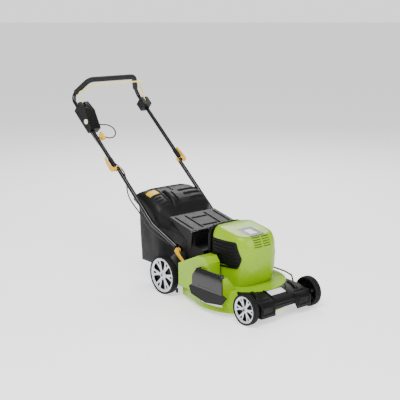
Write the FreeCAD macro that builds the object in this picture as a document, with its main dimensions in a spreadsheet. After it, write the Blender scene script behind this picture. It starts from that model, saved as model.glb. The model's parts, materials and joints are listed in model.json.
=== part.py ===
import FreeCAD, Part
import math
import os
import re
import Sketcher
from FreeCAD import Placement, Rotation, Vector

# A push lawn mower with a pressed steel deck, an electric motor under a cowl, a folding
# tube handle and a soft grass catcher.
#
# Every size is measured from the front axle: x across (+x is the operator's left),
# y backwards towards the operator, z up from the ground. The finished pieces are then
# placed so that the model's origin is on the ground under the middle of the mower.

SIZES = [
    # wheels and axles
    ("front_wheel_radius", 75, "front wheel, over the tread"),
    ("rear_wheel_radius", 100, "rear wheel, over the tread"),
    ("front_wheel_width", 35, "front tyre width"),
    ("rear_wheel_width", 40, "rear tyre width"),
    ("front_wheel_face", 227.5, "centre plane to the outer face of a front wheel"),
    ("rear_wheel_face", 240, "centre plane to the outer face of a rear wheel"),
    ("tyre_depth", 9, "tyre, tread to rim"),
    ("wheelbase", 603.5, "front axle to rear axle, along the ground"),
    ("stub_radius", 6, "stub axle that a wheel turns on"),
    ("hub_radius", 16, "wheel hub"),
    ("running_fit", 0.06, "clearance round a turning pin, on the radius"),
    ("crank_ahead", 40, "axle tube ahead of the wheel centre at the lowest cut"),
    ("crank_drop", 15, "axle tube below the wheel centre at the lowest cut"),
    ("crank_plate", 6, "thickness of a crank arm"),
    ("crank_end", 12, "radius of the end of a crank arm"),
    ("wheel_gap", 4, "crank arm to tyre"),
    ("link_ahead", 10, "height link pin ahead of the axle tube"),
    ("link_up", 36, "height link pin above the axle tube"),
    ("link_radius", 4, "height link rod"),
    ("link_pin", 4, "radius of the height link pins"),
    ("bush_radius", 10, "bush round an axle tube"),
    ("bush_length", 10, "bush round an axle tube"),
    # deck
    ("blade_back", 255, "blade centre behind the front axle"),
    ("deck_base", 20, "lower edge of the deck skirt"),
    ("deck_top", 123, "flat top of the deck"),
    ("deck_wall", 2.5, "deck sheet"),
    ("skirt_radius", 245, "skirt at its lower edge"),
    ("crown_radius", 219, "skirt at the flat top"),
    ("tail_back", 485, "rear wall of the deck"),
    ("tail_half", 194, "half width of the rear wall"),
    ("shoulder_back", 300, "where the deck starts to narrow"),
    ("shoulder_half", 236, "half width where the deck starts to narrow"),
    ("tunnel_outer", 222, "outer wall of the discharge tunnel"),
    ("tunnel_inner", 142, "inner wall of the discharge tunnel"),
    ("tunnel_front", 262, "front wall of the discharge tunnel"),
    ("tunnel_height", 262, "highest point of the discharge tunnel"),
    ("chute_half", 136, "half width of the way out to the catcher"),
    ("cover_half", 166, "half width of the front cover"),
    ("cover_front", 60, "bumper ahead of the front axle"),
    ("cover_height", 125, "rear edge of the front cover"),
    ("plastic_wall", 3, "wall of the moulded covers"),
    ("seam", 0.4, "gap between covers"),
    # cowl and motor
    ("cowl_half", 128, "half width of the motor cowl"),
    ("cowl_front", 104, "foremost face of the motor cowl"),
    ("cowl_back", 362, "rear of the green cowl"),
    ("cowl_height", 396, "highest point of the cowl"),
    ("cowl_corner", 46, "round of the cowl's upright corners"),
    ("vent_plate", 5, "side vents stand this far out"),
    ("motor_radius", 58, "outside of the motor housing"),
    ("motor_height", 110, "motor housing"),
    ("rotor_radius", 38, "rotor pack"),
    ("shaft_radius", 8, "motor shaft"),
    ("bearing_radius", 20, "motor bearing, outside"),
    ("bearing_width", 12, "motor bearing"),
    ("mount_plate", 5, "motor mounting plate"),
    ("mount_radius", 78, "motor mounting plate"),
    ("blade_length", 420, "cutting blade, tip to tip"),
    ("blade_width", 52, "cutting blade"),
    ("blade_thickness", 3.5, "cutting blade"),
    ("blade_level", 44, "underside of the blade"),
    ("adapter_radius", 24, "blade adapter"),
    ("adapter_height", 26, "blade adapter"),
    # rear brackets, chute and flaps
    ("bracket_inner", 142, "inner face of a handle bracket"),
    ("bracket_plate", 3, "handle bracket sheet"),
    ("bracket_end", 645, "rear end of a handle bracket"),
    ("chute_outer", 141.5, "half width of the chute frame"),
    ("chute_back", 514, "rear face of the chute frame"),
    ("flap_hinge_back", 464, "rear flap hinge"),
    ("flap_hinge_height", 342, "rear flap hinge"),
    ("flap_half", 153, "half width of the rear flap"),
    ("flap_wall", 3, "rear flap plate"),
    ("hinge_pin", 3, "radius of the flap hinge rods"),
    ("hinge_barrel", 6, "radius of the flap hinge barrels"),
    ("side_hinge_out", 238, "side flap hinge, from the centre plane"),
    ("side_hinge_height", 205, "side flap hinge"),
    ("side_flap_front", 148, "front end of the side flap"),
    ("side_flap_back", 305, "rear end of the side flap"),
    # grass catcher
    ("catcher_half", 184, "half width of the catcher"),
    ("neck_half", 130, "half width of the catcher's front"),
    ("neck_back", 668, "where the catcher widens"),
    ("catcher_front", 515, "front face of the catcher"),
    ("catcher_back", 930, "rear edge of the catcher lid"),
    ("bag_back", 905, "rear of the bag"),
    ("bag_base", 110, "underside of the bag"),
    ("bag_half", 174, "half width of the bag"),
    ("bag_wall", 3, "bag fabric with its lining"),
    ("mouth_rod", 5, "catcher mouth frame"),
    # handle
    ("tube_radius", 11, "handle tube"),
    ("rake", 39.69, "slope of the handle tubes, degrees"),
    ("clamp_back", 1012, "mid clamps behind the front axle"),
    ("clamp_height", 592.6, "mid clamps above the ground"),
    ("upper_half", 222.5, "upper tube from the centre plane"),
    ("lower_half", 209, "lower tubes from the centre plane"),
    ("foot_half", 152, "lower end of a lower tube, from the centre plane"),
    ("foot_along", 579.3, "mid clamp to lower pivot, along the tube"),
    ("foot_above", 8.8, "lower pivot above the tube's line"),
    ("bend_along", 392, "mid clamp to the bend of the lower tube"),
    ("kink_along", 550, "mid clamp to the bends of the upper tube"),
    ("grip_half", 153.5, "half length of the grip bar"),
    ("grip_above", 125.6, "grip bar above the tube's line"),
    ("grip_radius", 15, "foam grip"),
    ("tongue", 5, "thickness of a flattened tube end"),
    ("tube_wall", 1.5, "wall of the handle tube"),
    ("bolt_radius", 4, "clamp bolts"),
    ("bail_radius", 4, "switch bail rod"),
    ("bail_along", 444, "bail pivots, along the tube"),
    ("bail_above", 31, "bail pivots above the tube's line"),
    ("bail_half", 215, "bail arms from the centre plane"),
    ("lever_length", 100, "clamp lever"),
    ("lever_width", 20, "clamp lever"),
    ("lever_depth", 22, "clamp lever"),
    ("cable_radius", 3.5, "motor cable and plug lead"),
]

document = FreeCAD.newDocument("lawn_mower")
sheet = document.addObject("Spreadsheet::Sheet", "sizes")


class Values:
    """The sheet's numbers, for the shapes that no single feature can be bound to."""


size = Values()
for row, (name, number, meaning) in enumerate(SIZES, start=1):
    sheet.set(f"A{row}", name)
    sheet.set(f"B{row}", str(number))
    sheet.set(f"C{row}", meaning)
    sheet.setAlias(f"B{row}", name)
    setattr(size, name, float(number))

# The handle frame has its origin between the mid clamps, y along the tubes and z above them.
RAKE = math.radians(size.rake)
ORIGIN_CELL = f"B{len(SIZES) + 1}"
sheet.set(f"A{len(SIZES) + 1}", "origin_back")
sheet.set(ORIGIN_CELL, "0")
sheet.set(f"C{len(SIZES) + 1}", "model origin behind the front axle, worked out at the end")
sheet.setAlias(ORIGIN_CELL, "origin_back")
document.recompute()

ALIASES = {name for name, _, _ in SIZES} | {"origin_back"}
LEVER_TURN = 24
HEIGHT_STEPS = 6
HEIGHT_STEP = 12
RIGHT = -1
LEFT = 1
SIDES = (("right", RIGHT), ("left", LEFT))
nodes = []


def formula(text):
    """An expression in which each size's name points into the sheet."""
    def pointed(match):
        word = match.group(0)
        return f"sizes.{word}" if word in ALIASES else word
    return re.sub(r"[a-z_]+", pointed, str(text))


def bind(item, **properties):
    for name, text in properties.items():
        item.setExpression(name.replace("__", "."), formula(text))


def put(item, at):
    """Binds where a feature stands."""
    x, y, z = at
    bind(item, Placement__Base__x=x, Placement__Base__y=y, Placement__Base__z=z)


# --- simple solids -------------------------------------------------------------------------

AXES = {"x": Vector(1, 0, 0), "y": Vector(0, 1, 0), "z": Vector(0, 0, 1)}


def cylinder(axis, radius, length, at):
    """A round bar that starts at a point and runs along an axis."""
    item = document.addObject("Part::Cylinder", "bar")
    item.Placement.Rotation = Rotation(AXES["z"], AXES[axis])
    bind(item, Radius=radius, Height=length)
    put(item, at)
    return item


def cross_bar(radius, length, y, z):
    """A round bar across the mower, centred on its middle plane."""
    return cylinder("x", radius, length, (f"-({length}) / 2", y, z))


def cone(low_radius, high_radius, height, at):
    item = document.addObject("Part::Cone", "cone")
    bind(item, Radius1=low_radius, Radius2=high_radius, Height=height)
    put(item, at)
    return item


def block(length, width, height, at):
    item = document.addObject("Part::Box", "block")
    bind(item, Length=length, Width=width, Height=height)
    put(item, at)
    return item


def fuse(*items):
    item = document.addObject("Part::MultiFuse", "fuse")
    item.Shapes = list(items)
    return item


def cut(base, *tools):
    item = document.addObject("Part::Cut", "cut")
    item.Base = base
    item.Tool = tools[0] if len(tools) == 1 else fuse(*tools)
    return item


def gather(*items):
    """Several separate solids that make one node."""
    item = document.addObject("Part::Compound", "group")
    item.Links = list(items)
    return item


# --- drawn solids --------------------------------------------------------------------------

PLANES = {"across": "YZ_Plane", "flat": "XY_Plane", "facing": "XZ_Plane"}


def base_plane(body, view):
    return next(f for f in body.Origin.OriginFeatures if f.Role == PLANES[view])


def new_sketch(body, view, start="0"):
    sketch = body.newObject("Sketcher::SketchObject", "sketch")
    sketch.AttachmentSupport = (base_plane(body, view), "")
    sketch.MapMode = "FlatFace"
    bind(sketch, AttachmentOffset__Base__z=start)
    return sketch


def draw_outline(sketch, points):
    """A closed outline whose corners are held where their two formulas say."""
    first = sketch.GeometryCount
    count = len(points)
    places = [Vector(number(x), number(y), 0) for x, y in points]
    for i, place in enumerate(places):
        sketch.addGeometry(Part.LineSegment(place, places[(i + 1) % count]), False)
    for i, place in enumerate(places):
        line = first + i
        following = first + (i + 1) % count
        sketch.addConstraint(Sketcher.Constraint("Coincident", line, 2, following, 1))
        for kind, value, text in (("DistanceX", place.x, points[i][0]),
                                  ("DistanceY", place.y, points[i][1])):
            index = sketch.addConstraint(Sketcher.Constraint(kind, line, 1, value))
            if isinstance(text, str):
                sketch.setExpression(f"Constraints[{index}]", formula(text))


def draw_circle(sketch, x, y, radius):
    circle = sketch.addGeometry(
        Part.Circle(Vector(number(x), number(y), 0), AXES["z"], number(radius)), False)
    for kind, text in (("DistanceX", x), ("DistanceY", y)):
        index = sketch.addConstraint(Sketcher.Constraint(kind, circle, 3, number(text)))
        sketch.setExpression(f"Constraints[{index}]", formula(text))
    index = sketch.addConstraint(Sketcher.Constraint("Radius", circle, number(radius)))
    sketch.setExpression(f"Constraints[{index}]", formula(radius))


def number(text):
    """The present value of a formula."""
    if not isinstance(text, str):
        return float(text)
    probe = document.getObject("probe") or document.addObject("Spreadsheet::Sheet", "probe")
    probe.set("A1", "=" + formula(text))
    probe.recompute()
    return float(probe.get("A1"))


def plate(view, points, start, depth, holes=()):
    """A body padded from an outline; in the view across the mower the outline is (y, z)."""
    body = document.addObject("PartDesign::Body", "body")
    sketch = new_sketch(body, view, start)
    draw_outline(sketch, points)
    for hole in holes:
        draw_circle(sketch, *hole)
    pad = body.newObject("PartDesign::Pad", "pad")
    pad.Profile = sketch
    bind(pad, Length=depth)
    return body


def slab(points, half_width):
    """A side outline padded to the same width on both sides of the middle plane."""
    return plate("across", points, f"-({half_width})", f"2 * ({half_width})")


def round_edges(body, radius, wanted):
    """Rounds the edges of a body's last feature that a test picks."""
    document.recompute()
    last = body.Tip
    names = [f"Edge{i}" for i, edge in enumerate(last.Shape.Edges, start=1) if wanted(edge)]
    fillet = body.newObject("PartDesign::Fillet", "fillet")
    fillet.Base = (last, names)
    bind(fillet, Radius=radius)
    body.Tip = fillet
    return body


def upright(edge):
    """An edge with much more height than depth, as on the corners of a cowl."""
    box = edge.BoundBox
    return box.XLength < 1 and box.ZLength > box.YLength and box.ZLength > 20


def revolve(points):
    body = document.addObject("PartDesign::Body", "body")
    sketch = new_sketch(body, "facing")
    draw_outline(sketch, points)
    turn = body.newObject("PartDesign::Revolution", "turn")
    turn.Profile = sketch
    turn.ReferenceAxis = (next(f for f in body.Origin.OriginFeatures if f.Role == "Z_Axis"), [""])
    turn.Angle = 360
    return body


# --- bent tubes and cords ------------------------------------------------------------------

def bent_path(points, bend_radius):
    """Straight runs joined by tangent arcs; without a bend radius each arc is as large as
    its two runs allow. Returns the wire and the radii."""
    points = [Vector(*point) for point in points]
    edges = []
    radii = []
    start = points[0]
    for before, corner, after in zip(points, points[1:], points[2:]):
        inward = (corner - before).normalize()
        outward = (after - corner).normalize()
        half_turn = inward.getAngle(outward) / 2
        shorter = min((corner - before).Length, (after - corner).Length)
        radius = bend_radius or 0.45 * shorter / math.tan(half_turn)
        setback = radius * math.tan(half_turn)
        arc_start = corner - inward * setback
        arc_end = corner + outward * setback
        to_centre = (outward - inward).normalize()
        centre = corner + to_centre * (radius / math.cos(half_turn))
        middle = centre - to_centre * radius
        edges.append(Part.LineSegment(start, arc_start).toShape())
        edges.append(Part.Arc(arc_start, middle, arc_end).toShape())
        start = arc_end
        radii.append(radius)
    edges.append(Part.LineSegment(start, points[-1]).toShape())
    return Part.Wire(edges), radii


def swept(points, radius, bend_radius=None):
    """The solid of a round bar along a bent path."""
    path, radii = bent_path(points, bend_radius)
    first = Vector(*points[0])
    along = Vector(*points[1]) - first
    ring = Part.Wire([Part.Circle(first, along, radius).toShape()])
    solid = path.makePipeShell([ring], True, False)
    expected = math.pi * radius ** 2 * path.Length
    if abs(solid.Volume - expected) > 0.01 * expected:
        raise ValueError(f"bent bar has volume {solid.Volume:.0f}, not {expected:.0f}")
    return solid, path.Length, radii


def handle_bar(points, bend_radius):
    """A bent handle tube with its wall."""
    outside, _, _ = swept(points, size.tube_radius, bend_radius)
    inside, _, _ = swept(points, size.tube_radius - size.tube_wall, bend_radius)
    return outside.cut(inside)


def feature(shape):
    item = document.addObject("Part::Feature", "shape")
    item.Shape = shape
    return item


def cord(name, points, frame):
    """A flexible lead on its route, with its bends printed."""
    solid, length, radii = swept(points, size.cable_radius)
    bends = ", ".join(f"{radius:.0f}" for radius in radii)
    print(f"{name}: length {length:.0f} mm, bend radii {bends} mm")
    add(name, feature(solid), frame)


# --- nodes ---------------------------------------------------------------------------------

def in_mower(item):
    bind(item, Placement__Base__y="-origin_back")


def in_handle(item):
    item.Placement.Rotation = Rotation(AXES["x"], size.rake)
    bind(item, Placement__Base__y="clamp_back - origin_back",
         Placement__Base__z="clamp_height",
         Placement__Rotation__Angle="rake * 1 deg")


def add(name, item, frame=in_mower):
    """Names a finished piece and places it; pieces are drawn about the front axle or
    about the mid clamps, and their frame carries them to the model's origin."""
    if item.TypeId in ("Part::Cylinder", "Part::Box", "Part::Cone"):
        item = gather(item)
    item.Label = name
    frame(item)
    nodes.append(item)


# --- wheels, axles and the height linkage --------------------------------------------------

def wheel(place, side, end, back, radius, width, face):
    """A tyre and its spoked rim; both are turned about their own axis and stood on the axle."""
    half = f"{width} / 2"
    tyre = revolve([(f"{radius} - tyre_depth", f"-{half} + 2"), (f"{radius} - 3", f"-{half}"),
                    (radius, f"-{half} + 4"), (radius, f"{half} - 4"),
                    (f"{radius} - 3", half), (f"{radius} - tyre_depth", f"{half} - 2")])
    bore = "stub_radius + running_fit"
    barrel = f"{radius} - tyre_depth"
    rim = revolve([(bore, f"-{half} + 1"), ("hub_radius", f"-{half} + 1"),
                   ("hub_radius", f"{half} - 10"), (f"{barrel} - 5", f"{half} - 10"),
                   (f"{barrel} - 5", f"-{half} + 3"), (barrel, f"-{half} + 3"),
                   (barrel, f"{half} - 3"), (f"{barrel} - 5", f"{half} - 3"),
                   (f"{barrel} - 5", f"{half} - 5"), (bore, f"{half} - 5")])
    document.recompute()
    windows = new_sketch(rim, "flat")
    draw_outline(windows, [("-7", f"{barrel} - 10"), ("7", f"{barrel} - 10"),
                           ("3", "hub_radius + 8"), ("-3", "hub_radius + 8")])
    pocket = rim.newObject("PartDesign::Pocket", "window")
    pocket.Profile = windows
    pocket.SideType = "Symmetric"
    bind(pocket, Length=f"2 * {width}")
    pattern = rim.newObject("PartDesign::PolarPattern", "windows")
    pattern.Originals = [pocket]
    pattern.Axis = (windows, ["N_Axis"])
    pattern.Angle = 360
    pattern.Occurrences = 12
    rim.Tip = pattern
    for name, body in ((f"tyre_{end}_{place}", tyre), (f"rim_{end}_{place}", rim)):
        body.Placement.Rotation = Rotation(AXES["z"], AXES["x"] * side)
        bind(body, Placement__Base__x=f"{side} * ({face} - {half})",
             Placement__Base__y=f"{back} - origin_back", Placement__Base__z=radius)
        body.Label = name
        nodes.append(body)


def wheels():
    for place, side in SIDES:
        wheel(place, side, "front", "0", "front_wheel_radius", "front_wheel_width",
              "front_wheel_face")
        wheel(place, side, "rear", "wheelbase", "rear_wheel_radius", "rear_wheel_width",
              "rear_wheel_face")


def arm_between(y_from, z_from, y_to, z_to, x, thickness, half_width):
    """A flat arm with straight sides between two points of the side view."""
    dy = number(y_to) - number(y_from)
    dz = number(z_to) - number(z_from)
    slope = math.atan2(dz, dy)
    side_y = -math.sin(slope)
    side_z = math.cos(slope)
    points = [(f"{y_from} + {side_y:.6f} * {half_width}", f"{z_from} + {side_z:.6f} * {half_width}"),
              (f"{y_from} - {side_y:.6f} * {half_width}", f"{z_from} - {side_z:.6f} * {half_width}"),
              (f"{y_to} - {side_y:.6f} * {half_width}", f"{z_to} - {side_z:.6f} * {half_width}"),
              (f"{y_to} + {side_y:.6f} * {half_width}", f"{z_to} + {side_z:.6f} * {half_width}")]
    return plate("across", points, x, thickness)


def axle(name, back, radius, width, face):
    """An axle tube with a crank arm at each end that carries the stub of a wheel."""
    tube_y = f"{back} - crank_ahead"
    tube_z = f"{radius} - crank_drop"
    arm = f"{face} - {width} - wheel_gap - crank_plate"
    parts = [cross_bar("stub_radius", f"2 * ({arm} + crank_plate)", tube_y, tube_z)]
    for side in (RIGHT, LEFT):
        x = f"({side} * ({arm}) - (1 - {side}) / 2 * crank_plate)"
        parts.append(cylinder("x", "crank_end", "crank_plate", (x, back, radius)))
        parts.append(cylinder("x", "crank_end", "crank_plate", (x, tube_y, tube_z)))
        parts.append(arm_between(tube_y, tube_z, back, radius, x, "crank_plate", "crank_end"))
        stub = f"(crank_plate + wheel_gap + {width} - 2)"
        stub_x = f"({side} * ({arm}) - (1 - {side}) / 2 * {stub})"
        parts.append(cylinder("x", "stub_radius", stub, (stub_x, back, radius)))
    link_z = f"{tube_z} + link_up"
    link_y = f"{tube_y} - link_ahead"
    parts.append(cylinder("x", "link_pin + 4", "crank_plate", (arm, link_y, link_z)))
    parts.append(arm_between(tube_y, tube_z, link_y, link_z, arm, "crank_plate", "link_pin + 4"))
    parts.append(cylinder("x", "link_pin", "12", (f"{arm} - 12", link_y, link_z)))
    add(name, fuse(*parts))


def axle_bushes():
    rings = []
    for back, radius, at in (("0", "front_wheel_radius", "cover_half - plastic_wall - bush_length"),
                             ("wheelbase", "rear_wheel_radius",
                              "bracket_inner + bracket_plate")):
        y = f"{back} - crank_ahead"
        z = f"{radius} - crank_drop"
        for side in (RIGHT, LEFT):
            x = f"({side} * ({at}) - (1 - {side}) / 2 * bush_length)"
            rings.append(cut(cylinder("x", "bush_radius", "bush_length", (x, y, z)),
                             cylinder("x", "stub_radius + running_fit", "bush_length + 2",
                                      (f"{x} - 1", y, z))))
    add("axle_bushes", gather(*rings))


def link_rod():
    """The rod that makes both axles swing together, bent clear of the deck and the wheel."""
    rod_inset = size.front_wheel_width + size.wheel_gap + size.crank_plate + 8
    front = Vector(size.front_wheel_face - rod_inset, -size.crank_ahead - size.link_ahead,
                   size.front_wheel_radius - size.crank_drop + size.link_up)
    rear = Vector(size.rear_wheel_face - rod_inset - size.rear_wheel_width + size.front_wheel_width,
                  front.y + size.wheelbase,
                  front.z + size.rear_wheel_radius - size.front_wheel_radius)
    outward = size.crown_radius - 21
    raised = size.deck_top + size.link_radius + 15
    route = [front, front + Vector(0, 30, 2), Vector(front.x + 2, size.front_wheel_radius - 9, 101),
             Vector(outward, size.front_wheel_radius + 29, size.deck_top + 11),
             Vector(outward, size.front_wheel_radius + 76, raised + 1),
             Vector(outward, 240, raised + 3), Vector(outward, 330, raised + 3),
             Vector(rear.x, size.tail_back - 30, raised + 3), rear - Vector(0, 30, -6), rear]
    solid, _, _ = swept(route, size.link_radius, 14)
    eyes = []
    for end in (front, rear):
        eye = Part.makeCylinder(size.link_pin + 5, 8, end - AXES["x"] * 4, AXES["x"])
        hole = Part.makeCylinder(size.link_pin + size.running_fit, 30, end - AXES["x"] * 15, AXES["x"])
        solid = solid.fuse(eye)
        eyes.append(hole)
    for hole in eyes:
        solid = solid.cut(hole)
    add("link_rod", feature(solid))


def around_rear_tube(distance, turn):
    """A point in the side view at a distance from the rear axle tube, turned back from upright."""
    angle = math.radians(turn)
    return (f"wheelbase - crank_ahead + {distance * math.sin(angle):.3f}",
            f"rear_wheel_radius - crank_drop + {distance * math.cos(angle):.3f}")


def height_lever():
    """The lever on the rear axle that sets the cutting height, and the notched plate beside it."""
    tube_y, tube_z = around_rear_tube(0, 0)
    tip_y, tip_z = around_rear_tube(152, LEVER_TURN)
    inner = "(rear_wheel_face - rear_wheel_width - wheel_gap - crank_plate - 6)"
    lever = fuse(cylinder("x", "crank_end", "5", (inner, tube_y, tube_z)),
                 arm_between(tube_y, tube_z, tip_y, tip_z, inner, "5", "8"),
                 cylinder("x", "7", "32", (inner, tip_y, tip_z)),
                 cylinder("x", "13", "24", (f"{inner} + 8", tip_y, tip_z)))
    bore = cylinder("x", "stub_radius", "40", (f"{inner} - 20", tube_y, tube_z))
    add("height_lever", cut(lever, bore))
    notches = [(*around_rear_tube(98, LEVER_TURN + step * HEIGHT_STEP), "3.5")
               for step in range(HEIGHT_STEPS)]
    ends = range(int(LEVER_TURN) - 10, int(LEVER_TURN) + 75, 12)
    outline = [around_rear_tube(107, turn) for turn in ends]
    outline += [around_rear_tube(88, turn) for turn in reversed(ends)]
    arc = plate("across", outline, f"{inner} - 6", "4", notches)
    stay_y, stay_z = around_rear_tube(98, LEVER_TURN + 30)
    stay = block(f"{inner} - 6 - bracket_inner - bracket_plate", "8", "8",
                 ("bracket_inner + bracket_plate", f"{stay_y} - 4", f"{stay_z} - 4"))
    add("height_quadrant", fuse(arc, stay))


# --- deck, front cover and tunnel ----------------------------------------------------------

def deck_form(inset):
    """The deck's outer form, or with an inset the hollow inside it."""
    low = "deck_base" if inset == "0" else "deck_base - 1"
    top = f"(deck_top - {inset})"
    slope = "((skirt_radius - crown_radius) / (deck_top - deck_base))"
    grow = "0" if inset == "0" else slope
    pan = cone(f"skirt_radius - {inset} + {grow}", f"crown_radius - {inset} + {slope} * {inset}",
               f"{top} - ({low})", ("0", "blade_back", low))
    tail = plate("flat", [(f"-shoulder_half + {inset}", "shoulder_back"),
                          (f"-tail_half + {inset}", f"tail_back - {inset}"),
                          (f"tail_half - {inset}", f"tail_back - {inset}"),
                          (f"shoulder_half - {inset}", "shoulder_back")], low, f"{top} - ({low})")
    tunnel = plate("across", [(f"tunnel_front + {inset}", "deck_top - 50"),
                              (f"tunnel_front + {inset}", f"tunnel_height - 28 - {inset}"),
                              ("tunnel_front + 24", f"tunnel_height - {inset}"),
                              ("tunnel_front + 70", f"tunnel_height - {inset}"),
                              (f"tail_back - {inset}", f"tunnel_height - 70 - {inset}"),
                              (f"tail_back - {inset}", "deck_top - 50")],
                   f"-tunnel_outer + {inset}", f"tunnel_outer - tunnel_inner - 2 * {inset}")
    outlet = plate("facing", [(f"-side_hinge_out + 6 + {inset}", "deck_base + 40"),
                              (f"-side_hinge_out + 6 + {inset}", f"side_hinge_height - 12 - {inset}"),
                              ("-side_hinge_out + 32", f"side_hinge_height - 12 - {inset}"),
                              ("-tunnel_inner", f"deck_top - {inset}"),
                              ("-tunnel_inner", "deck_base + 40")],
                   f"-side_flap_back - 10 + {inset}",
                   f"side_flap_back - side_flap_front + 20 - 2 * {inset}")
    return fuse(pan, tail, tunnel, outlet)


def deck_shell():
    shaft_hole = cylinder("z", "bearing_radius + seam", "20", ("0", "blade_back", "deck_top - 10"))
    side_way = block("60", "side_flap_back - side_flap_front - 20", "side_hinge_height - 72",
                     ("-skirt_radius - 20", "side_flap_front + 10", "deck_base + 22"))
    rear_way = block("2 * chute_half", "20", "deck_top - deck_base - 30",
                     ("-chute_half", "tail_back - 10", "deck_base + 20"))
    top_way = block("2 * chute_half", "72", "20",
                    ("-chute_half", "tail_back - 80", "deck_top - 10"))
    tunnel_way = block("tunnel_inner - chute_half + 6", "60", "60",
                       ("-tunnel_inner - 5", "tail_back - 70", "deck_top + 14"))
    add("deck_shell", cut(deck_form("0"), deck_form("deck_wall"), shaft_hole, side_way, rear_way,
                          top_way, tunnel_way))


def cover_outline(inset):
    return [(f"-cover_front + {inset}", "deck_base + 10"),
            (f"-cover_front + {inset}", f"cover_height - 42 - {inset}"),
            ("-cover_front + 22", f"cover_height - 24 - {inset}"),
            ("30", f"cover_height - 6 - {inset}"),
            ("150", f"cover_height - {inset}"),
            ("150", "deck_base + 10")]


def front_cover():
    outer = slab(cover_outline("0"), "cover_half")
    inner = plate("across", [(y, z if "height" in z else "deck_base") for y, z in
                             cover_outline("plastic_wall")],
                  "-cover_half + plastic_wall", "2 * (cover_half - plastic_wall)")
    crown = cone("skirt_radius + seam", "crown_radius + seam", "deck_top - deck_base",
                 ("0", "blade_back", "deck_base"))
    tip = cylinder("z", "crown_radius + seam", "20", ("0", "blade_back", "deck_top - 0.5"))
    slot_z = "front_wheel_radius - crank_drop"
    bores = cross_bar("bush_radius - 2", "2 * cover_half + 20", "-crank_ahead", slot_z)
    full = cut(outer, inner, bores)
    add("front_cover", cut(full, crown, tip))
    add("front_label", plate("across", [("-4", "cover_height - 15"), ("28", "cover_height - 6.53"),
                                        ("28", "cover_height - 5.1"), ("-4", "cover_height - 13.6")],
                             "-42", "84"))


# --- cowl ----------------------------------------------------------------------------------

def cowl_outline(inset):
    return [(f"cowl_front + 28 + {inset}", "deck_top"),
            (f"cowl_front + {inset}", "deck_top + 92"),
            (f"cowl_front + {inset}", "cowl_height - 80"),
            (f"cowl_front + 20 + {inset}", f"cowl_height - 27 - {inset}"),
            ("cowl_front + 90", f"cowl_height - 19 - {inset}"),
            ("cowl_back - 60", f"cowl_height - {inset}"),
            (f"cowl_back - {inset}", f"cowl_height - 6 - {inset}"),
            (f"cowl_back - {inset}", "deck_top")]


def cowl():
    outer = round_edges(slab(cowl_outline("0"), "cowl_half"), "cowl_corner", upright)
    hollow_points = [(y, "deck_top - 5" if z == "deck_top" else z)
                     for y, z in cowl_outline("plastic_wall")]
    hollow = round_edges(slab(hollow_points, "cowl_half - plastic_wall"),
                         "cowl_corner - plastic_wall", upright)
    add("cowl_shell", cut(outer, hollow))
    cover = slab([("cowl_back + seam", "deck_top"), ("cowl_back + seam", "cowl_height - 10"),
                  ("cowl_back + 14", "cowl_height - 18"), ("cowl_back + 20", "deck_top + 130"),
                  ("cowl_back + 20", "deck_top")], "cowl_half - cowl_corner + 16")
    pocket = slab([("cowl_back - 1", "deck_top - 1"), ("cowl_back - 1", "cowl_height - 24"),
                   ("cowl_back + 11", "cowl_height - 28"), ("cowl_back + 17", "deck_top + 130"),
                   ("cowl_back + 17", "deck_top - 1")], "cowl_half - cowl_corner + 13")
    add("cowl_rear_cover", cut(cover, pocket))
    vents = []
    for side in (RIGHT, LEFT):
        x = f"({side} * cowl_half - (1 - {side}) / 2 * vent_plate)"
        vents.append(plate("across", [("cowl_back - 24", "deck_top + 92"),
                                      ("cowl_front + 50", "deck_top + 100"),
                                      ("cowl_front + 62", "cowl_height - 64"),
                                      ("cowl_back - 24", "cowl_height - 50")], x, "vent_plate"))
    add("cowl_vents", gather(*vents))
    ahead = "cowl_height - 27 + 8 * 36 / 70"
    behind = "cowl_height - 19 + 19 * 34 / (cowl_back - cowl_front - 150)"
    add("cowl_badge", plate("across", [("cowl_front + 56", ahead), ("cowl_front + 90", "cowl_height - 19"),
                                       ("cowl_front + 124", behind),
                                       ("cowl_front + 124", f"{behind} + 1.5"),
                                       ("cowl_front + 90", "cowl_height - 17.5"),
                                       ("cowl_front + 56", f"{ahead} + 1.5")], "-32", "64"))


# --- motor and blade -----------------------------------------------------------------------

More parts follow.
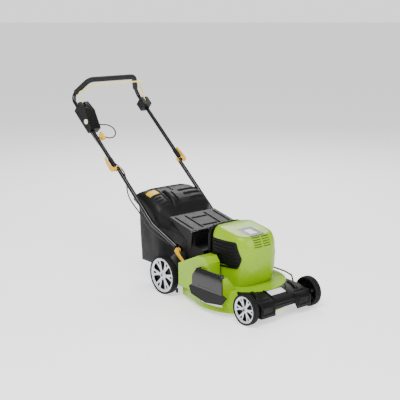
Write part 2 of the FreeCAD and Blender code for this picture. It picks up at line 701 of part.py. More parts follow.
def motor():
    centre = "blade_back"
    floor = "(deck_top + mount_plate)"
    add("motor_mount", cut(cylinder("z", "mount_radius", "mount_plate", ("0", centre, "deck_top")),
                           cylinder("z", "bearing_radius + seam", "20",
                                    ("0", centre, "deck_top - 5"))))
    shell = cylinder("z", "motor_radius", "motor_height", ("0", centre, floor))
    hollow = cylinder("z", "rotor_radius + 0.8", "motor_height - 24",
                      ("0", centre, f"{floor} + 12"))
    seats = cylinder("z", "bearing_radius", "motor_height + 20", ("0", centre, f"{floor} - 10"))
    add("motor_housing", cut(shell, hollow, seats))
    rings = []
    for level in (floor, f"{floor} + motor_height - bearing_width"):
        rings.append(cut(cylinder("z", "bearing_radius", "bearing_width", ("0", centre, level)),
                         cylinder("z", "shaft_radius + running_fit", "bearing_width + 2",
                                  ("0", centre, f"{level} - 1"))))
    add("motor_bearings", gather(*rings))
    add("motor_shaft", cylinder("z", "shaft_radius", "230", ("0", centre, "blade_level - 2")))
    add("motor_rotor", cut(cylinder("z", "rotor_radius", "motor_height - 32",
                                    ("0", centre, f"{floor} + 16")),
                           cylinder("z", "shaft_radius", "motor_height",
                                    ("0", centre, floor))))
    fan_level = f"{floor} + motor_height + 8"
    vanes = [block("84", "2.5", "14", ("-42", f"{centre} - 1.25", f"{fan_level} + 3"))]
    vanes.append(block("2.5", "84", "14", ("-1.25", f"{centre} - 42", f"{fan_level} + 3")))
    add("cooling_fan", cut(fuse(cylinder("z", "46", "3", ("0", centre, fan_level)),
                                cylinder("z", "14", "17", ("0", centre, fan_level)), *vanes),
                           cylinder("z", "shaft_radius", "40", ("0", centre, f"{fan_level} - 10"))))
    add("run_capacitor", cylinder("x", "18", "80", ("-40", f"{centre} + motor_radius + 18.5",
                                                f"{floor} + 18")))
    add("blade_adapter", cut(cylinder("z", "adapter_radius", "adapter_height",
                                      ("0", centre, "blade_level + blade_thickness")),
                             cylinder("z", "shaft_radius", "60", ("0", centre, "blade_level"))))
    half = "blade_length / 2"
    blade = plate("flat", [(f"-{half}", f"{centre} - blade_width / 2 + 14"),
                           (f"-{half} + 80", f"{centre} - blade_width / 2"),
                           (half, f"{centre} - blade_width / 2"),
                           (half, f"{centre} + blade_width / 2 - 14"),
                           (f"{half} - 80", f"{centre} + blade_width / 2"),
                           (f"-{half}", f"{centre} + blade_width / 2")],
                  "blade_level", "blade_thickness", [("0", centre, "shaft_radius")])
    add("blade", blade)
    add("blade_bolt", cylinder("z", "13", "8", ("0", centre, "blade_level - 10")))


# --- rear brackets, chute, flaps -----------------------------------------------------------

def handle_foot():
    """The lower handle pivot in the side view, measured from the front axle."""
    y = (size.clamp_back - size.foot_along * math.cos(RAKE) - size.foot_above * math.sin(RAKE))
    z = (size.clamp_height - size.foot_along * math.sin(RAKE) + size.foot_above * math.cos(RAKE))
    return y, z


def brackets():
    pivot_y, pivot_z = handle_foot()
    axle_y = "wheelbase - crank_ahead"
    axle_z = "rear_wheel_radius - crank_drop"
    plates = []
    for side in (RIGHT, LEFT):
        x = f"({side} * bracket_inner - (1 - {side}) / 2 * bracket_plate)"
        plates.append(plate("across", [
            ("tail_back", "deck_base + 44"), ("tail_back", "deck_top"),
            (pivot_y - 22, pivot_z + 14), (pivot_y + 6, pivot_z + 20),
            (pivot_y + 24, pivot_z - 10), ("bracket_end", f"{axle_z} + 84"),
            ("bracket_end", f"{axle_z} + 50"), (f"{axle_y} + 30", f"{axle_z} - 20"),
            (f"{axle_y} - 24", f"{axle_z} - 22")],
            x, "bracket_plate",
            [(axle_y, axle_z, "stub_radius + 0.8"),
             (f"{pivot_y:.3f}", f"{pivot_z:.3f}", "bolt_radius")]))
    add("handle_brackets", gather(*plates))


def chute_outline(inset):
    return [("tail_back - 100", "deck_top"), ("tail_back - 100", f"deck_top + 138 - {inset}"),
            ("flap_hinge_back - 12", f"deck_top + 148 - {inset}"),
            ("flap_hinge_back - 8", f"flap_hinge_height - 10 - {inset}"),
            ("chute_back", f"flap_hinge_height - 10 - {inset}"), ("chute_back", "deck_top + 4"),
            ("tail_back + seam", "deck_top + 4"), ("tail_back + seam", "deck_top")]


def chute():
    outer = slab(chute_outline("0"), "chute_outer")
    inner = plate("across", [("tail_back - 96", "deck_top - 10"),
                             ("tail_back - 96", "deck_top + 134"),
                             ("flap_hinge_back - 4", "deck_top + 144"),
                             ("flap_hinge_back - 4", "flap_hinge_height - 14"),
                             ("chute_back + 10", "flap_hinge_height - 14"),
                             ("chute_back + 10", "deck_top - 10")],
                  "-chute_outer + plastic_wall", "2 * (chute_outer - plastic_wall)")
    ears = [block("8", "16", "14", (x, "flap_hinge_back - 8", "flap_hinge_height - 12"))
            for x in ("-chute_outer", "chute_outer - 8")]
    rod_hole = cross_bar("hinge_pin", "2 * flap_half", "flap_hinge_back", "flap_hinge_height")
    add("chute_frame", cut(fuse(outer, *ears), inner, rod_hole))
    add("rear_flap_rod", cross_bar("hinge_pin", "2 * flap_half - 2", "flap_hinge_back",
                                   "flap_hinge_height"))


def rear_flap():
    """A hood hinged at its front edge: a top plate that rises backwards and two side skirts."""
    top = slab([("flap_hinge_back + 3", "flap_hinge_height + 3"),
                ("flap_hinge_back + 176", "flap_hinge_height + 42"),
                ("flap_hinge_back + 176", "flap_hinge_height + 42 + flap_wall"),
                ("flap_hinge_back", "flap_hinge_height + 3 + flap_wall")], "flap_half")
    skirts = []
    for side in (RIGHT, LEFT):
        x = f"({side} * (flap_half - flap_wall) - (1 - {side}) / 2 * flap_wall)"
        skirts.append(plate("across", [("flap_hinge_back - 6", "flap_hinge_height"),
                                       ("flap_hinge_back + 4", "flap_hinge_height + 4"),
                                       ("flap_hinge_back + 176", "flap_hinge_height + 42"),
                                       ("flap_hinge_back + 110", "flap_hinge_height - 4"),
                                       ("flap_hinge_back + 40", "flap_hinge_height - 46"),
                                       ("flap_hinge_back + 8", "flap_hinge_height - 90")],
                            x, "flap_wall"))
    barrels = [cylinder("x", "hinge_barrel", "60", (x, "flap_hinge_back", "flap_hinge_height"))
               for x in ("-110", "50")]
    eyes = [cylinder("x", "hinge_barrel", "flap_wall",
                     (x, "flap_hinge_back", "flap_hinge_height"))
            for x in ("-flap_half", "flap_half - flap_wall")]
    bore = cross_bar("hinge_pin + running_fit", "2 * flap_half + 4", "flap_hinge_back",
                     "flap_hinge_height")
    add("rear_flap", cut(fuse(top, *skirts, *barrels, *eyes), bore))


def side_flap():
    """The spring loaded flap over the side discharge, hung from a pin along the deck."""
    length = "side_flap_back - side_flap_front"
    x = "-side_hinge_out"
    bend = plate("facing", [("-side_hinge_out - 2", "side_hinge_height + 5"),
                            ("-side_hinge_out - 14", "side_hinge_height + 1"),
                            ("-side_hinge_out - 20", "side_hinge_height - 8"),
                            ("-side_hinge_out - 20", "side_hinge_height - 30"),
                            ("-side_hinge_out - 14", "side_hinge_height - 30"),
                            ("-side_hinge_out - 14", "side_hinge_height - 11"),
                            ("-side_hinge_out - 9", "side_hinge_height - 5"),
                            ("-side_hinge_out - 2", "side_hinge_height - 4")],
                 "-side_flap_back + 4", f"{length} - 8")
    skirt = plate("across", [("side_flap_front + 4", "side_hinge_height - 8"),
                             ("side_flap_back - 4", "side_hinge_height - 8"),
                             ("side_flap_back + 61", "side_hinge_height - 90"),
                             ("side_flap_back + 48", "side_hinge_height - 112"),
                             ("side_flap_back - 68", "side_hinge_height - 141"),
                             ("side_flap_front - 44", "side_hinge_height - 108"),
                             ("side_flap_front - 74", "side_hinge_height - 82")],
                  "-side_hinge_out - 20", "6")
    barrel = cylinder("y", "hinge_barrel", length, (x, "side_flap_front", "side_hinge_height"))
    bore = cylinder("y", "hinge_pin + running_fit", f"{length} + 4",
                    (x, "side_flap_front - 2", "side_hinge_height"))
    add("side_flap", cut(fuse(bend, skirt, barrel), bore))
    pin = cylinder("y", "hinge_pin", f"{length} + 24",
                   (x, "side_flap_front - 12", "side_hinge_height"))
    ears = [block("side_hinge_out + 4 - tunnel_outer", "5", "18",
                  ("-side_hinge_out - 4", y, "side_hinge_height - 12"))
            for y in ("side_flap_front - 8", "side_flap_back + 3")]
    add("side_flap_pin", fuse(pin, *ears))


# --- grass catcher -------------------------------------------------------------------------

def lid_outline(inset):
    return [("catcher_front", "bag_base + 170"),
            ("catcher_front", f"flap_hinge_height - 14 - {inset}"),
            ("catcher_front + 70", f"flap_hinge_height + 6 - {inset}"),
            ("catcher_front + 150", f"flap_hinge_height + 34 - {inset}"),
            ("catcher_front + 235", f"flap_hinge_height + 119 - {inset}"),
            ("catcher_front + 335", f"flap_hinge_height + 148 - {inset}"),
            ("catcher_back - 20", f"flap_hinge_height + 122 - {inset}"),
            (f"catcher_back - {inset}", "flap_hinge_height + 92"),
            ("catcher_back", "bag_base + 322"), ("bag_back", "bag_base + 322"),
            ("catcher_front + 150", "bag_base + 197")]


def waisted(points, half, neck):
    """A side outline made wide behind the neck and narrow before it."""
    wide = slab(points, half)
    trims = []
    for side in (RIGHT, LEFT):
        x = f"({side} * {neck} - (1 - {side}) / 2 * 100)"
        trims.append(plate("flat", [(x, "catcher_front - 50"), (f"{x} + 100", "catcher_front - 50"),
                                    (f"{x} + 100", f"neck_back + (1 + {side}) * 17"),
                                    (x, f"neck_back + (1 - {side}) * 17")], "0", "600"))
    return cut(wide, *trims)


def bag_outline(inset):
    return [(f"catcher_front + {inset}", f"bag_base + {inset}"),
            (f"catcher_front + {inset}", "bag_base + 170"),
            ("catcher_front + 150", "bag_base + 197"),
            (f"bag_back - {inset}", "bag_base + 322"),
            (f"bag_back - 19 - {inset}", f"bag_base + {inset}")]


def catcher():
    lid_inner = [(f"{y} + plastic_wall" if y == "catcher_front" else y, z)
                 for y, z in lid_outline("plastic_wall")]
    lowered = [(y if "catcher_back" not in y or "wall" in y else f"{y} - plastic_wall",
                f"{z} - 6" if z.startswith("bag_base") else z) for y, z in lid_inner]
    lid = cut(waisted(lid_outline("0"), "catcher_half", "neck_half"),
              waisted(lowered, "(catcher_half - plastic_wall)", "(neck_half - plastic_wall)"))
    window = block("70", "46", "60", ("-162", "catcher_front + 274", "flap_hinge_height + 100"))
    pin_hole = cylinder("x", "1.5 + running_fit", "90", ("-172", *indicator_pin()))
    add("catcher_lid", cut(lid, window, pin_hole))
    inner = [(y, f"{z} + 8" if z in ("bag_base + 170", "bag_base + 197", "bag_base + 322") else z)
             for y, z in bag_outline("bag_wall")]
    mouth = block("2 * neck_half - 36", "30", "110",
                  ("-neck_half + 18", "catcher_front - 10", "bag_base + 24"))
    bag = cut(waisted(bag_outline("0"), "bag_half", "neck_half"),
              waisted(inner, "(bag_half - bag_wall)", "(neck_half - bag_wall)"), mouth)
    add("catcher_bag", bag)
    ring = cut(block("2 * (neck_half - bag_wall)", "mouth_rod", "134",
                     ("-neck_half + bag_wall", "catcher_front + bag_wall", "bag_base + 12")),
               block("2 * (neck_half - 18)", "20", "110",
                     ("-neck_half + 18", "catcher_front - 5", "bag_base + 24")))
    add("catcher_frame", ring)


def indicator_pin():
    return "catcher_front + 279", "flap_hinge_height + 130.5"


def fill_indicator():
    """The flap in the lid that the air stream lifts until the catcher is full."""
    plate_points = [("catcher_front + 276", "flap_hinge_height + 128.5"),
                    ("catcher_front + 318", "flap_hinge_height + 140.5"),
                    ("catcher_front + 318", "flap_hinge_height + 144.5"),
                    ("catcher_front + 276", "flap_hinge_height + 132.5")]
    flap = plate("across", plate_points, "-160", "66")
    add("fill_indicator", fuse(flap, cylinder("x", "1.5", "74", ("-164", *indicator_pin()))))


# --- handle --------------------------------------------------------------------------------

def flat_end(x, along, above, thickness):
    """The pressed end of a tube, where a clamp bolt passes."""
    return Part.makeCylinder(size.tube_radius + 2, thickness, Vector(x - thickness / 2, along, above),
                             AXES["x"])


def flat_neck(start):
    """The pressed stretch between a tube end and its round part."""
    height = 2 * size.tube_radius - size.tube_wall
    return Part.makeBox(size.tongue, 30, height, start - Vector(size.tongue / 2, 0, height / 2))


def lower_tubes():
    shapes = []
    for side in (RIGHT, LEFT):
        foot = Vector(side * size.foot_half, -size.foot_along, size.foot_above)
        bend = Vector(side * size.lower_half, -size.bend_along, 0)
        top = Vector(side * size.lower_half, 0, 0)
        to_foot = (foot - bend).normalize()
        tube = handle_bar([foot - to_foot * 26, bend, top - AXES["y"] * 16], 60)
        foot_end = flat_end(foot.x, foot.y, foot.z, size.tongue)
        top_end = flat_end(top.x, 0, 0, size.tongue)
        solid = tube.multiFuse([foot_end, top_end, flat_neck(foot), flat_neck(top - AXES["y"] * 30)])
        for end, fit in ((foot, size.running_fit), (top, 0)):
            solid = solid.cut(Part.makeCylinder(size.bolt_radius + fit, 60,
                                                end - AXES["x"] * 30, AXES["x"]))
        shapes.append(solid)
    add("lower_tubes", feature(Part.makeCompound(shapes)), in_handle)


def upper_route():
    half = size.upper_half
    kink = size.kink_along
    return [Vector(-half, 16, 0), Vector(-half, kink, 0),
            Vector(-size.grip_half, kink - 2, size.grip_above),
            Vector(size.grip_half, kink - 2, size.grip_above), Vector(half, kink, 0),
            Vector(half, 16, 0)]


def upper_tube():
    solid = handle_bar(upper_route(), 45)
    for side in (RIGHT, LEFT):
        x = side * size.upper_half
        solid = solid.fuse(flat_end(x, 0, 0, size.tongue))
        solid = solid.fuse(flat_neck(Vector(x, 0, 0)))
        solid = solid.cut(Part.makeCylinder(size.bolt_radius + size.running_fit, 60,
                                            Vector(x - 30, 0, 0), AXES["x"]))
    bore, _, _ = swept(upper_route(), size.tube_radius + 0.01, 45)
    add("upper_tube", feature(solid), in_handle)
    route = upper_route()[1:-1]
    first = route[0] - (route[0] - route[1]).normalize() * 34
    last = route[3] - (route[3] - route[2]).normalize() * 34
    sleeve, _, _ = swept([first, route[1], route[2], last], size.grip_radius, 45)
    add("grip", feature(sleeve.cut(bore)), in_handle)


def clamp(name, side, stand_off, along, above, direction):
    """A cam lever outside a tube end; its pin stands square to both the tube and the bolt."""
    inner = f"({side} * ({stand_off}) - (1 - {side}) / 2 * lever_depth)"
    reach = "(lever_length - lever_depth / 2)"
    arm = block("lever_depth", reach, "lever_width",
                (inner, f"{along} - (1 - {direction}) / 2 * {reach}", f"{above} - lever_width / 2"))
    cam = cylinder("z", "lever_depth / 2", "lever_width",
                   (f"{inner} + lever_depth / 2", along, f"{above} - lever_width / 2"))
    add(name, fuse(arm, cam), in_handle)


MID_STAND_OFF = "upper_half + tube_radius + 2.5"
LOW_STAND_OFF = "foot_half + tongue / 2 + 5.5"


def levers():
    for place, side in SIDES:
        clamp(f"mid_lever_{place}", side, MID_STAND_OFF, "0", "0", 1)
        clamp(f"low_lever_{place}", side, LOW_STAND_OFF, "-foot_along", "foot_above", -1)


def bolt(side, inner, stand_off, tongue_at, along, above):
    """A bolt with a wing nut inside and a washer block under the cam lever."""
    washer_at = f"({tongue_at} + tongue / 2 + 0.3)"
    washer_depth = f"({stand_off} - 0.3 - {washer_at})"
    length = f"({washer_at} - {inner} + 1)"
    bar_x = f"{side} * {inner} - (1 - {side}) / 2 * {length}"
    nut_x = f"{side} * {inner} - (1 - {side}) / 2 * 9"
    washer_x = f"{side} * {washer_at} - (1 - {side}) / 2 * {washer_depth}"
    return fuse(cylinder("x", "bolt_radius", length, (bar_x, along, above)),
                block("9", "26", "9", (nut_x, f"{along} - 13", f"{above} - 4.5")),
                cylinder("x", "12", washer_depth, (washer_x, along, above)))


def clamp_bolts():
    mids = [bolt(side, "(lower_half - tongue / 2 - 10)", MID_STAND_OFF, "upper_half", "0", "0")
            for _, side in SIDES]
    add("mid_clamp_bolts", gather(*mids), in_handle)
    lows = [bolt(side, "(bracket_inner - 9)", LOW_STAND_OFF, "foot_half", "-foot_along",
                 "foot_above") for _, side in SIDES]
    add("low_clamp_bolts", gather(*lows), in_handle)


def bail():
    half = size.bail_half
    top = Vector(size.grip_half, size.bail_along + 33, size.bail_above + 127)
    knee = Vector(half, size.bail_along + 76, size.bail_above + 28)
    foot = Vector(half, size.bail_along, size.bail_above)
    leg_end = foot - (knee - foot).normalize() * 2
    leg = [leg_end, knee, top]
    mirrored = [Vector(-point.x, point.y, point.z) for point in leg]
    rod, _, _ = swept(mirrored + leg[::-1], size.bail_radius, 18)
    for side in (RIGHT, LEFT):
        pivot = Vector(side * half, foot.y, foot.z)
        rod = rod.fuse(Part.makeCylinder(size.bail_radius, 34, pivot - AXES["x"] * 17, AXES["x"]))
    add("bail", feature(rod), in_handle)


def box_outline(inset):
    return [(f"bail_along - 158 + {inset}", f"-20 + {inset}"),
            (f"bail_along - 166 + {inset}", f"22 - {inset}"),
            ("bail_along - 60", f"60 - {inset}"),
            (f"bail_along + 14 - {inset}", f"50 - {inset}"),
            (f"bail_along + 14 - {inset}", f"-22 + {inset}")]


def switch_box():
    """A two-part box round the right tube that holds the switch, its button and the plug."""
    inner_x = "-upper_half - 20"
    outer = plate("across", box_outline("0"), inner_x, "72")
    hollow = plate("across", box_outline("plastic_wall"), f"{inner_x} + plastic_wall",
                   "72 - 2 * plastic_wall")
    tube = cylinder("y", "tube_radius", "300", ("-upper_half", "bail_along - 220", "0"))
    pivot = cylinder("x", "bail_radius + running_fit", "120",
                     ("-bail_half - 60", "bail_along", "bail_above"))
    slot = block("12", "50", "70", ("-bail_half - 6", "bail_along - 16", "bail_above - 12"))
    hole = cylinder("x", "14.3", "20", (f"{inner_x} - 10", "bail_along - 108", "20"))
    add("switch_box", cut(outer, hollow, tube, pivot, slot, hole), in_handle)
    button = cylinder("x", "14", "11", (f"{inner_x} - 7", "bail_along - 108", "20"))
    stem = cylinder("x", "4", "22", (f"{inner_x} - 2", "bail_along - 108", "20"))
    add("switch_button", fuse(button, stem), in_handle)
    switch_corner = (f"{inner_x} + 48 - plastic_wall", "bail_along - 125", "13")
    add("microswitch", block("24", "34", "16", switch_corner), in_handle)
    housing = cut(block("52", "56", "60", ("upper_half - 34", "bail_along - 36", "-20")),
                  cylinder("y", "tube_radius", "300", ("upper_half", "bail_along - 200", "0")),
                  cylinder("x", "bail_radius + running_fit", "120",
                           ("bail_half - 60", "bail_along", "bail_above")),
                  block("12", "60", "60", ("bail_half - 6", "bail_along - 14",
                                           "bail_above - 12")))
    add("bail_pivot", housing, in_handle)


def leads():
    """The plug lead's loop by the switch box, the cord holder and the motor cable."""
    edge = -size.upper_half + 52
    base = size.bail_along - 150
    add("cord_plug", fuse(cylinder("y", "13", "36", ("-upper_half + 34", "bail_along - 232", "6")),
                          block("34", "10", "30", ("-upper_half + 8", "bail_along - 226", "-12"))),
        in_handle)
    across = edge + 8
    cord("plug_lead", [(edge - 12, base + 20, 10), (across, base + 16, 12),
                       (across + 36, base + 6, 20), (across + 62, base - 24, 22),
                       (across + 62, base - 60, 18), (across + 34, base - 88, 14),
                       (across - 4, base - 84, 10), (across - 22, base - 60, 8),
                       (across - 26, base - 34, 8)], in_handle)
    meeting = -(size.lower_half - size.tongue / 2 - 10 - size.cable_radius - 1)
    cord("motor_cable_upper", [(-size.upper_half, size.bail_along - 156, -17),
                               (-size.upper_half - 3, size.bail_along - 190, -16),
                               (-size.upper_half, size.bail_along - 230, -17),
                               (-size.upper_half + 4, 165, -16), (-size.upper_half + 8, 118, -18),
                               (meeting - 14, 78, -17), (meeting - 5, 44, -12),
                               (meeting, 24, -7), (meeting, 7, -2)], in_handle)
    low = -size.lower_half
    cord("motor_cable_lower", [(meeting, -7, 2), (meeting, -24, 7), (meeting, -48, 2),
                               (meeting - 3, -76, -10), (meeting - 10, -106, -24),
                               (low - 4, -144, -36), (low - 11, -190, -38), (low - 14, -240, -30),
                               (low - 12, -295, -26), (low - 11, -345, -34), (low - 2, -395, -38),
                               (low + 12, -440, -34), (low + 27, -480, -25), (low + 42, -520, -17)],
         in_handle)


wheels()
axle("front_axle", "0", "front_wheel_radius", "front_wheel_width", "front_wheel_face")
axle("rear_axle", "wheelbase", "rear_wheel_radius", "rear_wheel_width", "rear_wheel_face")
axle_bushes()
link_rod()
height_lever()
deck_shell()
front_cover()
cowl()
motor()
brackets()
chute()
rear_flap()
side_flap()
catcher()
fill_indicator()
lower_tubes()
upper_tube()
levers()
clamp_bolts()
bail()
switch_box()
leads()
document.recompute()

# The origin goes under the middle of the mower's length.
front_end = min(node.Shape.BoundBox.YMin for node in nodes)
rear_end = max(node.Shape.BoundBox.YMax for node in nodes)
sheet.set(ORIGIN_CELL, f"{(front_end + rear_end) / 2:.4f}")
document.recompute()

# --- checks and export ---------------------------------------------------------------------

failed = [f"{item.Label} ({item.TypeId}) has state {item.State}" for item in document.Objects
          if "Invalid" in item.State or "Error" in item.State]
failed += [f"{node.Label} has no valid shape" for node in nodes
           if node.Shape.isNull() or not node.Shape.isValid()]
if failed:
    raise ValueError("; ".join(failed))
os.makedirs("parts", exist_ok=True)
for node in nodes:
    node.Shape.exportStep(f"parts/{node.Label}.step")
    box = node.Shape.BoundBox
    print(f"{node.Label}: {len(node.Shape.Solids)} solid(s), {node.Shape.Volume / 1000:.1f} cm3, "
          f"x {box.XMin:.1f}..{box.XMax:.1f} y {box.YMin:.1f}..{box.YMax:.1f} "
          f"z {box.ZMin:.1f}..{box.ZMax:.1f}")
print(f"{len(nodes)} nodes")
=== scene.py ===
import json
import math

import bmesh
import bpy
from mathutils import Matrix, Vector, noise
from mathutils.bvhtree import BVHTree


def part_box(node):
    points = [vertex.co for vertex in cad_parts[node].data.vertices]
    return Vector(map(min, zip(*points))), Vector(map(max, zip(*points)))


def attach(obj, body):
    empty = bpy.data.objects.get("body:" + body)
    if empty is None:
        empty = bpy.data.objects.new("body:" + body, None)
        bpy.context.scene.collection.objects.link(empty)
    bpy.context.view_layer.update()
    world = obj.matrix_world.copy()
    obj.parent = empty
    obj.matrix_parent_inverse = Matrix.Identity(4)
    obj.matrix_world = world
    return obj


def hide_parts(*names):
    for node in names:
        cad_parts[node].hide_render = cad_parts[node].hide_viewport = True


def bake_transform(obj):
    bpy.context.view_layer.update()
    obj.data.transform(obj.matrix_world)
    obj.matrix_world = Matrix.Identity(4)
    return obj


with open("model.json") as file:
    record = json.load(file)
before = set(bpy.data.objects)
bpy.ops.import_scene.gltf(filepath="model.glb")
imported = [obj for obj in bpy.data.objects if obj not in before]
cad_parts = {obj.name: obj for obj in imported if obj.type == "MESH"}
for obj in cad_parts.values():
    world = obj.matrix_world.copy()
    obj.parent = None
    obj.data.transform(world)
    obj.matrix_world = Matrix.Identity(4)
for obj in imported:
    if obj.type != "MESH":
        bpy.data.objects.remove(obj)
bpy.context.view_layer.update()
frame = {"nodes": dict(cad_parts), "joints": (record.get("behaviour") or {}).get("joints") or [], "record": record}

# %% [markdown]
# # A push lawn mower with a catcher
#
# This lesson dresses a mower whose hard parts are already placed in a fixed frame. The frame's
# parts sit at the origin with their place in their meshes, and each one belongs to a body that
# can move. The work here is the skin: rounded edges, moulded detail, cloth, cords and finishes.

# %% [markdown]
# ## Two sets of axes
#
# A mower is easiest to draw from its front axle: x across, y backwards and z up from the ground,
# in millimetres. The folding handle slopes, so its parts are drawn along the tube instead: x
# across, y along the tube from the middle clamps and z above it. Three matrices turn such drawings
# into the frame's metres. Their places come from the wheels and from the folding joints,
# and the slope of the handle is given.

# %% From millimetres to the frame
wheel_low, wheel_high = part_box("tyre_front_right")
front_axle_back = (wheel_low.y + wheel_high.y) / 2
joints = {joint["name"]: joint for joint in frame["joints"]}
mid_clamp = Vector(joints["upper_handle_fold"]["pos_m"])
low_clamp = Vector(joints["lower_handle_fold"]["pos_m"])
RAKE = math.radians(39.69)
MM = Matrix.Scale(0.001, 4)
MOWER = Matrix.Translation((0, front_axle_back, 0)) @ MM
HANDLE_AXES = Matrix.Translation(mid_clamp) @ Matrix.Rotation(RAKE, 4, "X")
HANDLE = HANDLE_AXES @ MM
LOW_CLAMP = Matrix.Translation(low_clamp) @ Matrix.Rotation(RAKE, 4, "X") @ MM
print("front axle at y", round(front_axle_back, 4), "middle clamps at", tuple(mid_clamp))

# %% [markdown]
# ## Where the viewer stands
#
# A product view of a mower is taken from the front corner, a little above, with a long lens so
# that the far wheels don't shrink. The camera comes first, because every later choice is judged
# through it.

# %% The camera
eye = Vector((-2.91151, -3.54592, 1.49990))
aim = Vector((-0.11322, -0.23288, 0.50476))
camera_data = bpy.data.cameras.new("camera")
camera_data.sensor_width = 36
camera_data.lens = 80.43
camera_data.clip_end = 50
camera = bpy.data.objects.new("camera", camera_data)
camera.location = eye
camera.rotation_mode = "QUATERNION"
camera.rotation_quaternion = (aim - eye).to_track_quat("-Z", "Y")
bpy.context.scene.collection.objects.link(camera)
bpy.context.scene.camera = camera
print("distance to the mower", round((aim - eye).length, 3))

# %% [markdown]
# ## Floor and light
#
# A plain pale floor under big soft lamps keeps reflections calm and lets gloss, grain and rubber
# look different from each other. The floor glows, so that it stays pale far from the lamps. It
# isn't part of the mower.

# %% Helpers for objects, colours and shader nodes
def smooth_object(name, mesh):
    """A new object at the origin, which holds its place in its mesh."""
    item = bpy.data.objects.new(name, mesh)
    bpy.context.scene.collection.objects.link(item)
    return item


def linear(code, alpha=1.0):
    """An sRGB hex colour as the linear numbers that shaders take."""
    parts = [int(code[index:index + 2], 16) / 255 for index in (1, 3, 5)]
    return (*[part / 12.92 if part <= 0.04045 else ((part + 0.055) / 1.055) ** 2.4
              for part in parts], alpha)


def node(tree, kind, inputs=None, **settings):
    """One shader node with its settings; an input may be a number or another node's output."""
    made = tree.nodes.new(kind)
    for name, value in settings.items():
        setattr(made, name, value)
    for name, value in (inputs or {}).items():
        if isinstance(value, bpy.types.NodeSocket):
            tree.links.new(value, made.inputs[name])
        else:
            made.inputs[name].default_value = value
    return made


def new_material(name):
    """An empty material with its output, ready for a shader."""
    material = bpy.data.materials.new(name)
    material.use_nodes = True
    material.node_tree.nodes.clear()
    return material, material.node_tree


# %% The floor
paper, tree = new_material("matt_white_paper")
sheen = node(tree, "ShaderNodeBsdfPrincipled", {"Base Color": linear("#F4F4F4"), "Roughness": 0.9,
                                                  "Emission Color": linear("#FFFFFF"),
                                                  "Emission Strength": 0.9})
node(tree, "ShaderNodeOutputMaterial", {"Surface": sheen.outputs[0]})
FLOOR_REACH = 60
ground = bmesh.new()
bmesh.ops.create_grid(ground, x_segments=1, y_segments=1, size=FLOOR_REACH)
floor_mesh = bpy.data.meshes.new("floor")
ground.to_mesh(floor_mesh)
ground.free()
floor_mesh.materials.append(paper)
smooth_object("floor", floor_mesh)
print("floor", 2 * FLOOR_REACH, "metres across")


# %% The lamps
def lamp(name, place, size, power):
    """A square soft lamp that looks at the middle of the mower."""
    data = bpy.data.lights.new(name, "AREA")
    data.size = size
    data.energy = power
    item = bpy.data.objects.new(name, data)
    item.location = place
    item.rotation_mode = "QUATERNION"
    item.rotation_quaternion = (aim - Vector(place)).to_track_quat("-Z", "Y")
    bpy.context.scene.collection.objects.link(item)


lamp("key_lamp", (-2.2, -1.4, 3.9), 2.6, 240)
lamp("front_lamp", (0.6, -4.4, 2.2), 2.4, 85)
lamp("rear_lamp", (2.4, 2.2, 3.4), 2.4, 150)
world = bpy.data.worlds.new("bright_room")
world.use_nodes = True
room = world.node_tree.nodes["Background"]
room.inputs["Color"].default_value = linear("#FFFFFF")
# The backdrop is seen brighter than it lights the mower, so that dark plastic stays dark.
straight = node(world.node_tree, "ShaderNodeLightPath")
glow = node(world.node_tree, "ShaderNodeMapRange", {"Value": straight.outputs["Is Camera Ray"],
                                                    "To Min": 0.3, "To Max": 1.45})
world.node_tree.links.new(glow.outputs[0], room.inputs["Strength"])
bpy.context.scene.world = world

# %% [markdown]
# ## Finishes
#
# Each finish starts from the real material and how its surface was made. A shared recipe mixes
# two close tones by a large soft noise, which is the unevenness of paint or moulding, and adds a
# fine bump for the grain. The scale of the noise is one over the grain size in metres.

# %% A recipe for moulded and painted surfaces
ROUGH_SPREAD = 0.06


def finish(name, tone, second, rough, grain_mm, relief, patch_mm=60, metal=0.0, **extra):
    """Two tones in soft patches, roughness that wanders a little, and a grain in the bump."""
    material, tree = new_material(name)
    place = node(tree, "ShaderNodeTexCoord").outputs["Object"]
    patches = node(tree, "ShaderNodeTexNoise", {"Vector": place, "Scale": 1000 / patch_mm,
                                                "Detail": 3.0})
    blend = node(tree, "ShaderNodeMix", {"Factor": patches.outputs[0]}, data_type="RGBA")
    blend.inputs[6].default_value = linear(tone)
    blend.inputs[7].default_value = linear(second)
    wander = node(tree, "ShaderNodeMapRange", {"Value": patches.outputs[0],
                                               "To Min": rough - ROUGH_SPREAD,
                                               "To Max": rough + ROUGH_SPREAD})
    grain = node(tree, "ShaderNodeTexNoise", {"Vector": place, "Scale": 1000 / grain_mm,
                                              "Detail": 2.0})
    bump = node(tree, "ShaderNodeBump", {"Height": grain.outputs[0], "Strength": relief,
                                         "Distance": 0.0004})
    shader = node(tree, "ShaderNodeBsdfPrincipled",
                  {"Base Color": blend.outputs[2], "Roughness": wander.outputs[0],
                   "Normal": bump.outputs[0], "Metallic": metal, **extra})
    node(tree, "ShaderNodeOutputMaterial", {"Surface": shader.outputs[0]})
    return material


# %% Paints, plastics and metals
# Baked enamel: a wet, even gloss with a faint orange peel about 3 mm across.
lime_enamel = finish("baked_enamel_lime", "#86B000", "#8EB800", 0.24, 3, 0.05,
                     **{"Specular IOR Level": 0.35})
# Glossy ABS moulding: the same colour, a little softer in its reflections.
lime_plastic = finish("gloss_abs_lime", "#85AE00", "#8DB600", 0.28, 2, 0.05,
                      **{"Specular IOR Level": 0.3})
# Textured polypropylene: black that looks dark grey, because its fine grain scatters light.
black_plastic = finish("textured_polypropylene_black", "#070708", "#0B0B0C", 0.5, 0.9, 0.3,
                       **{"Specular IOR Level": 0.2})
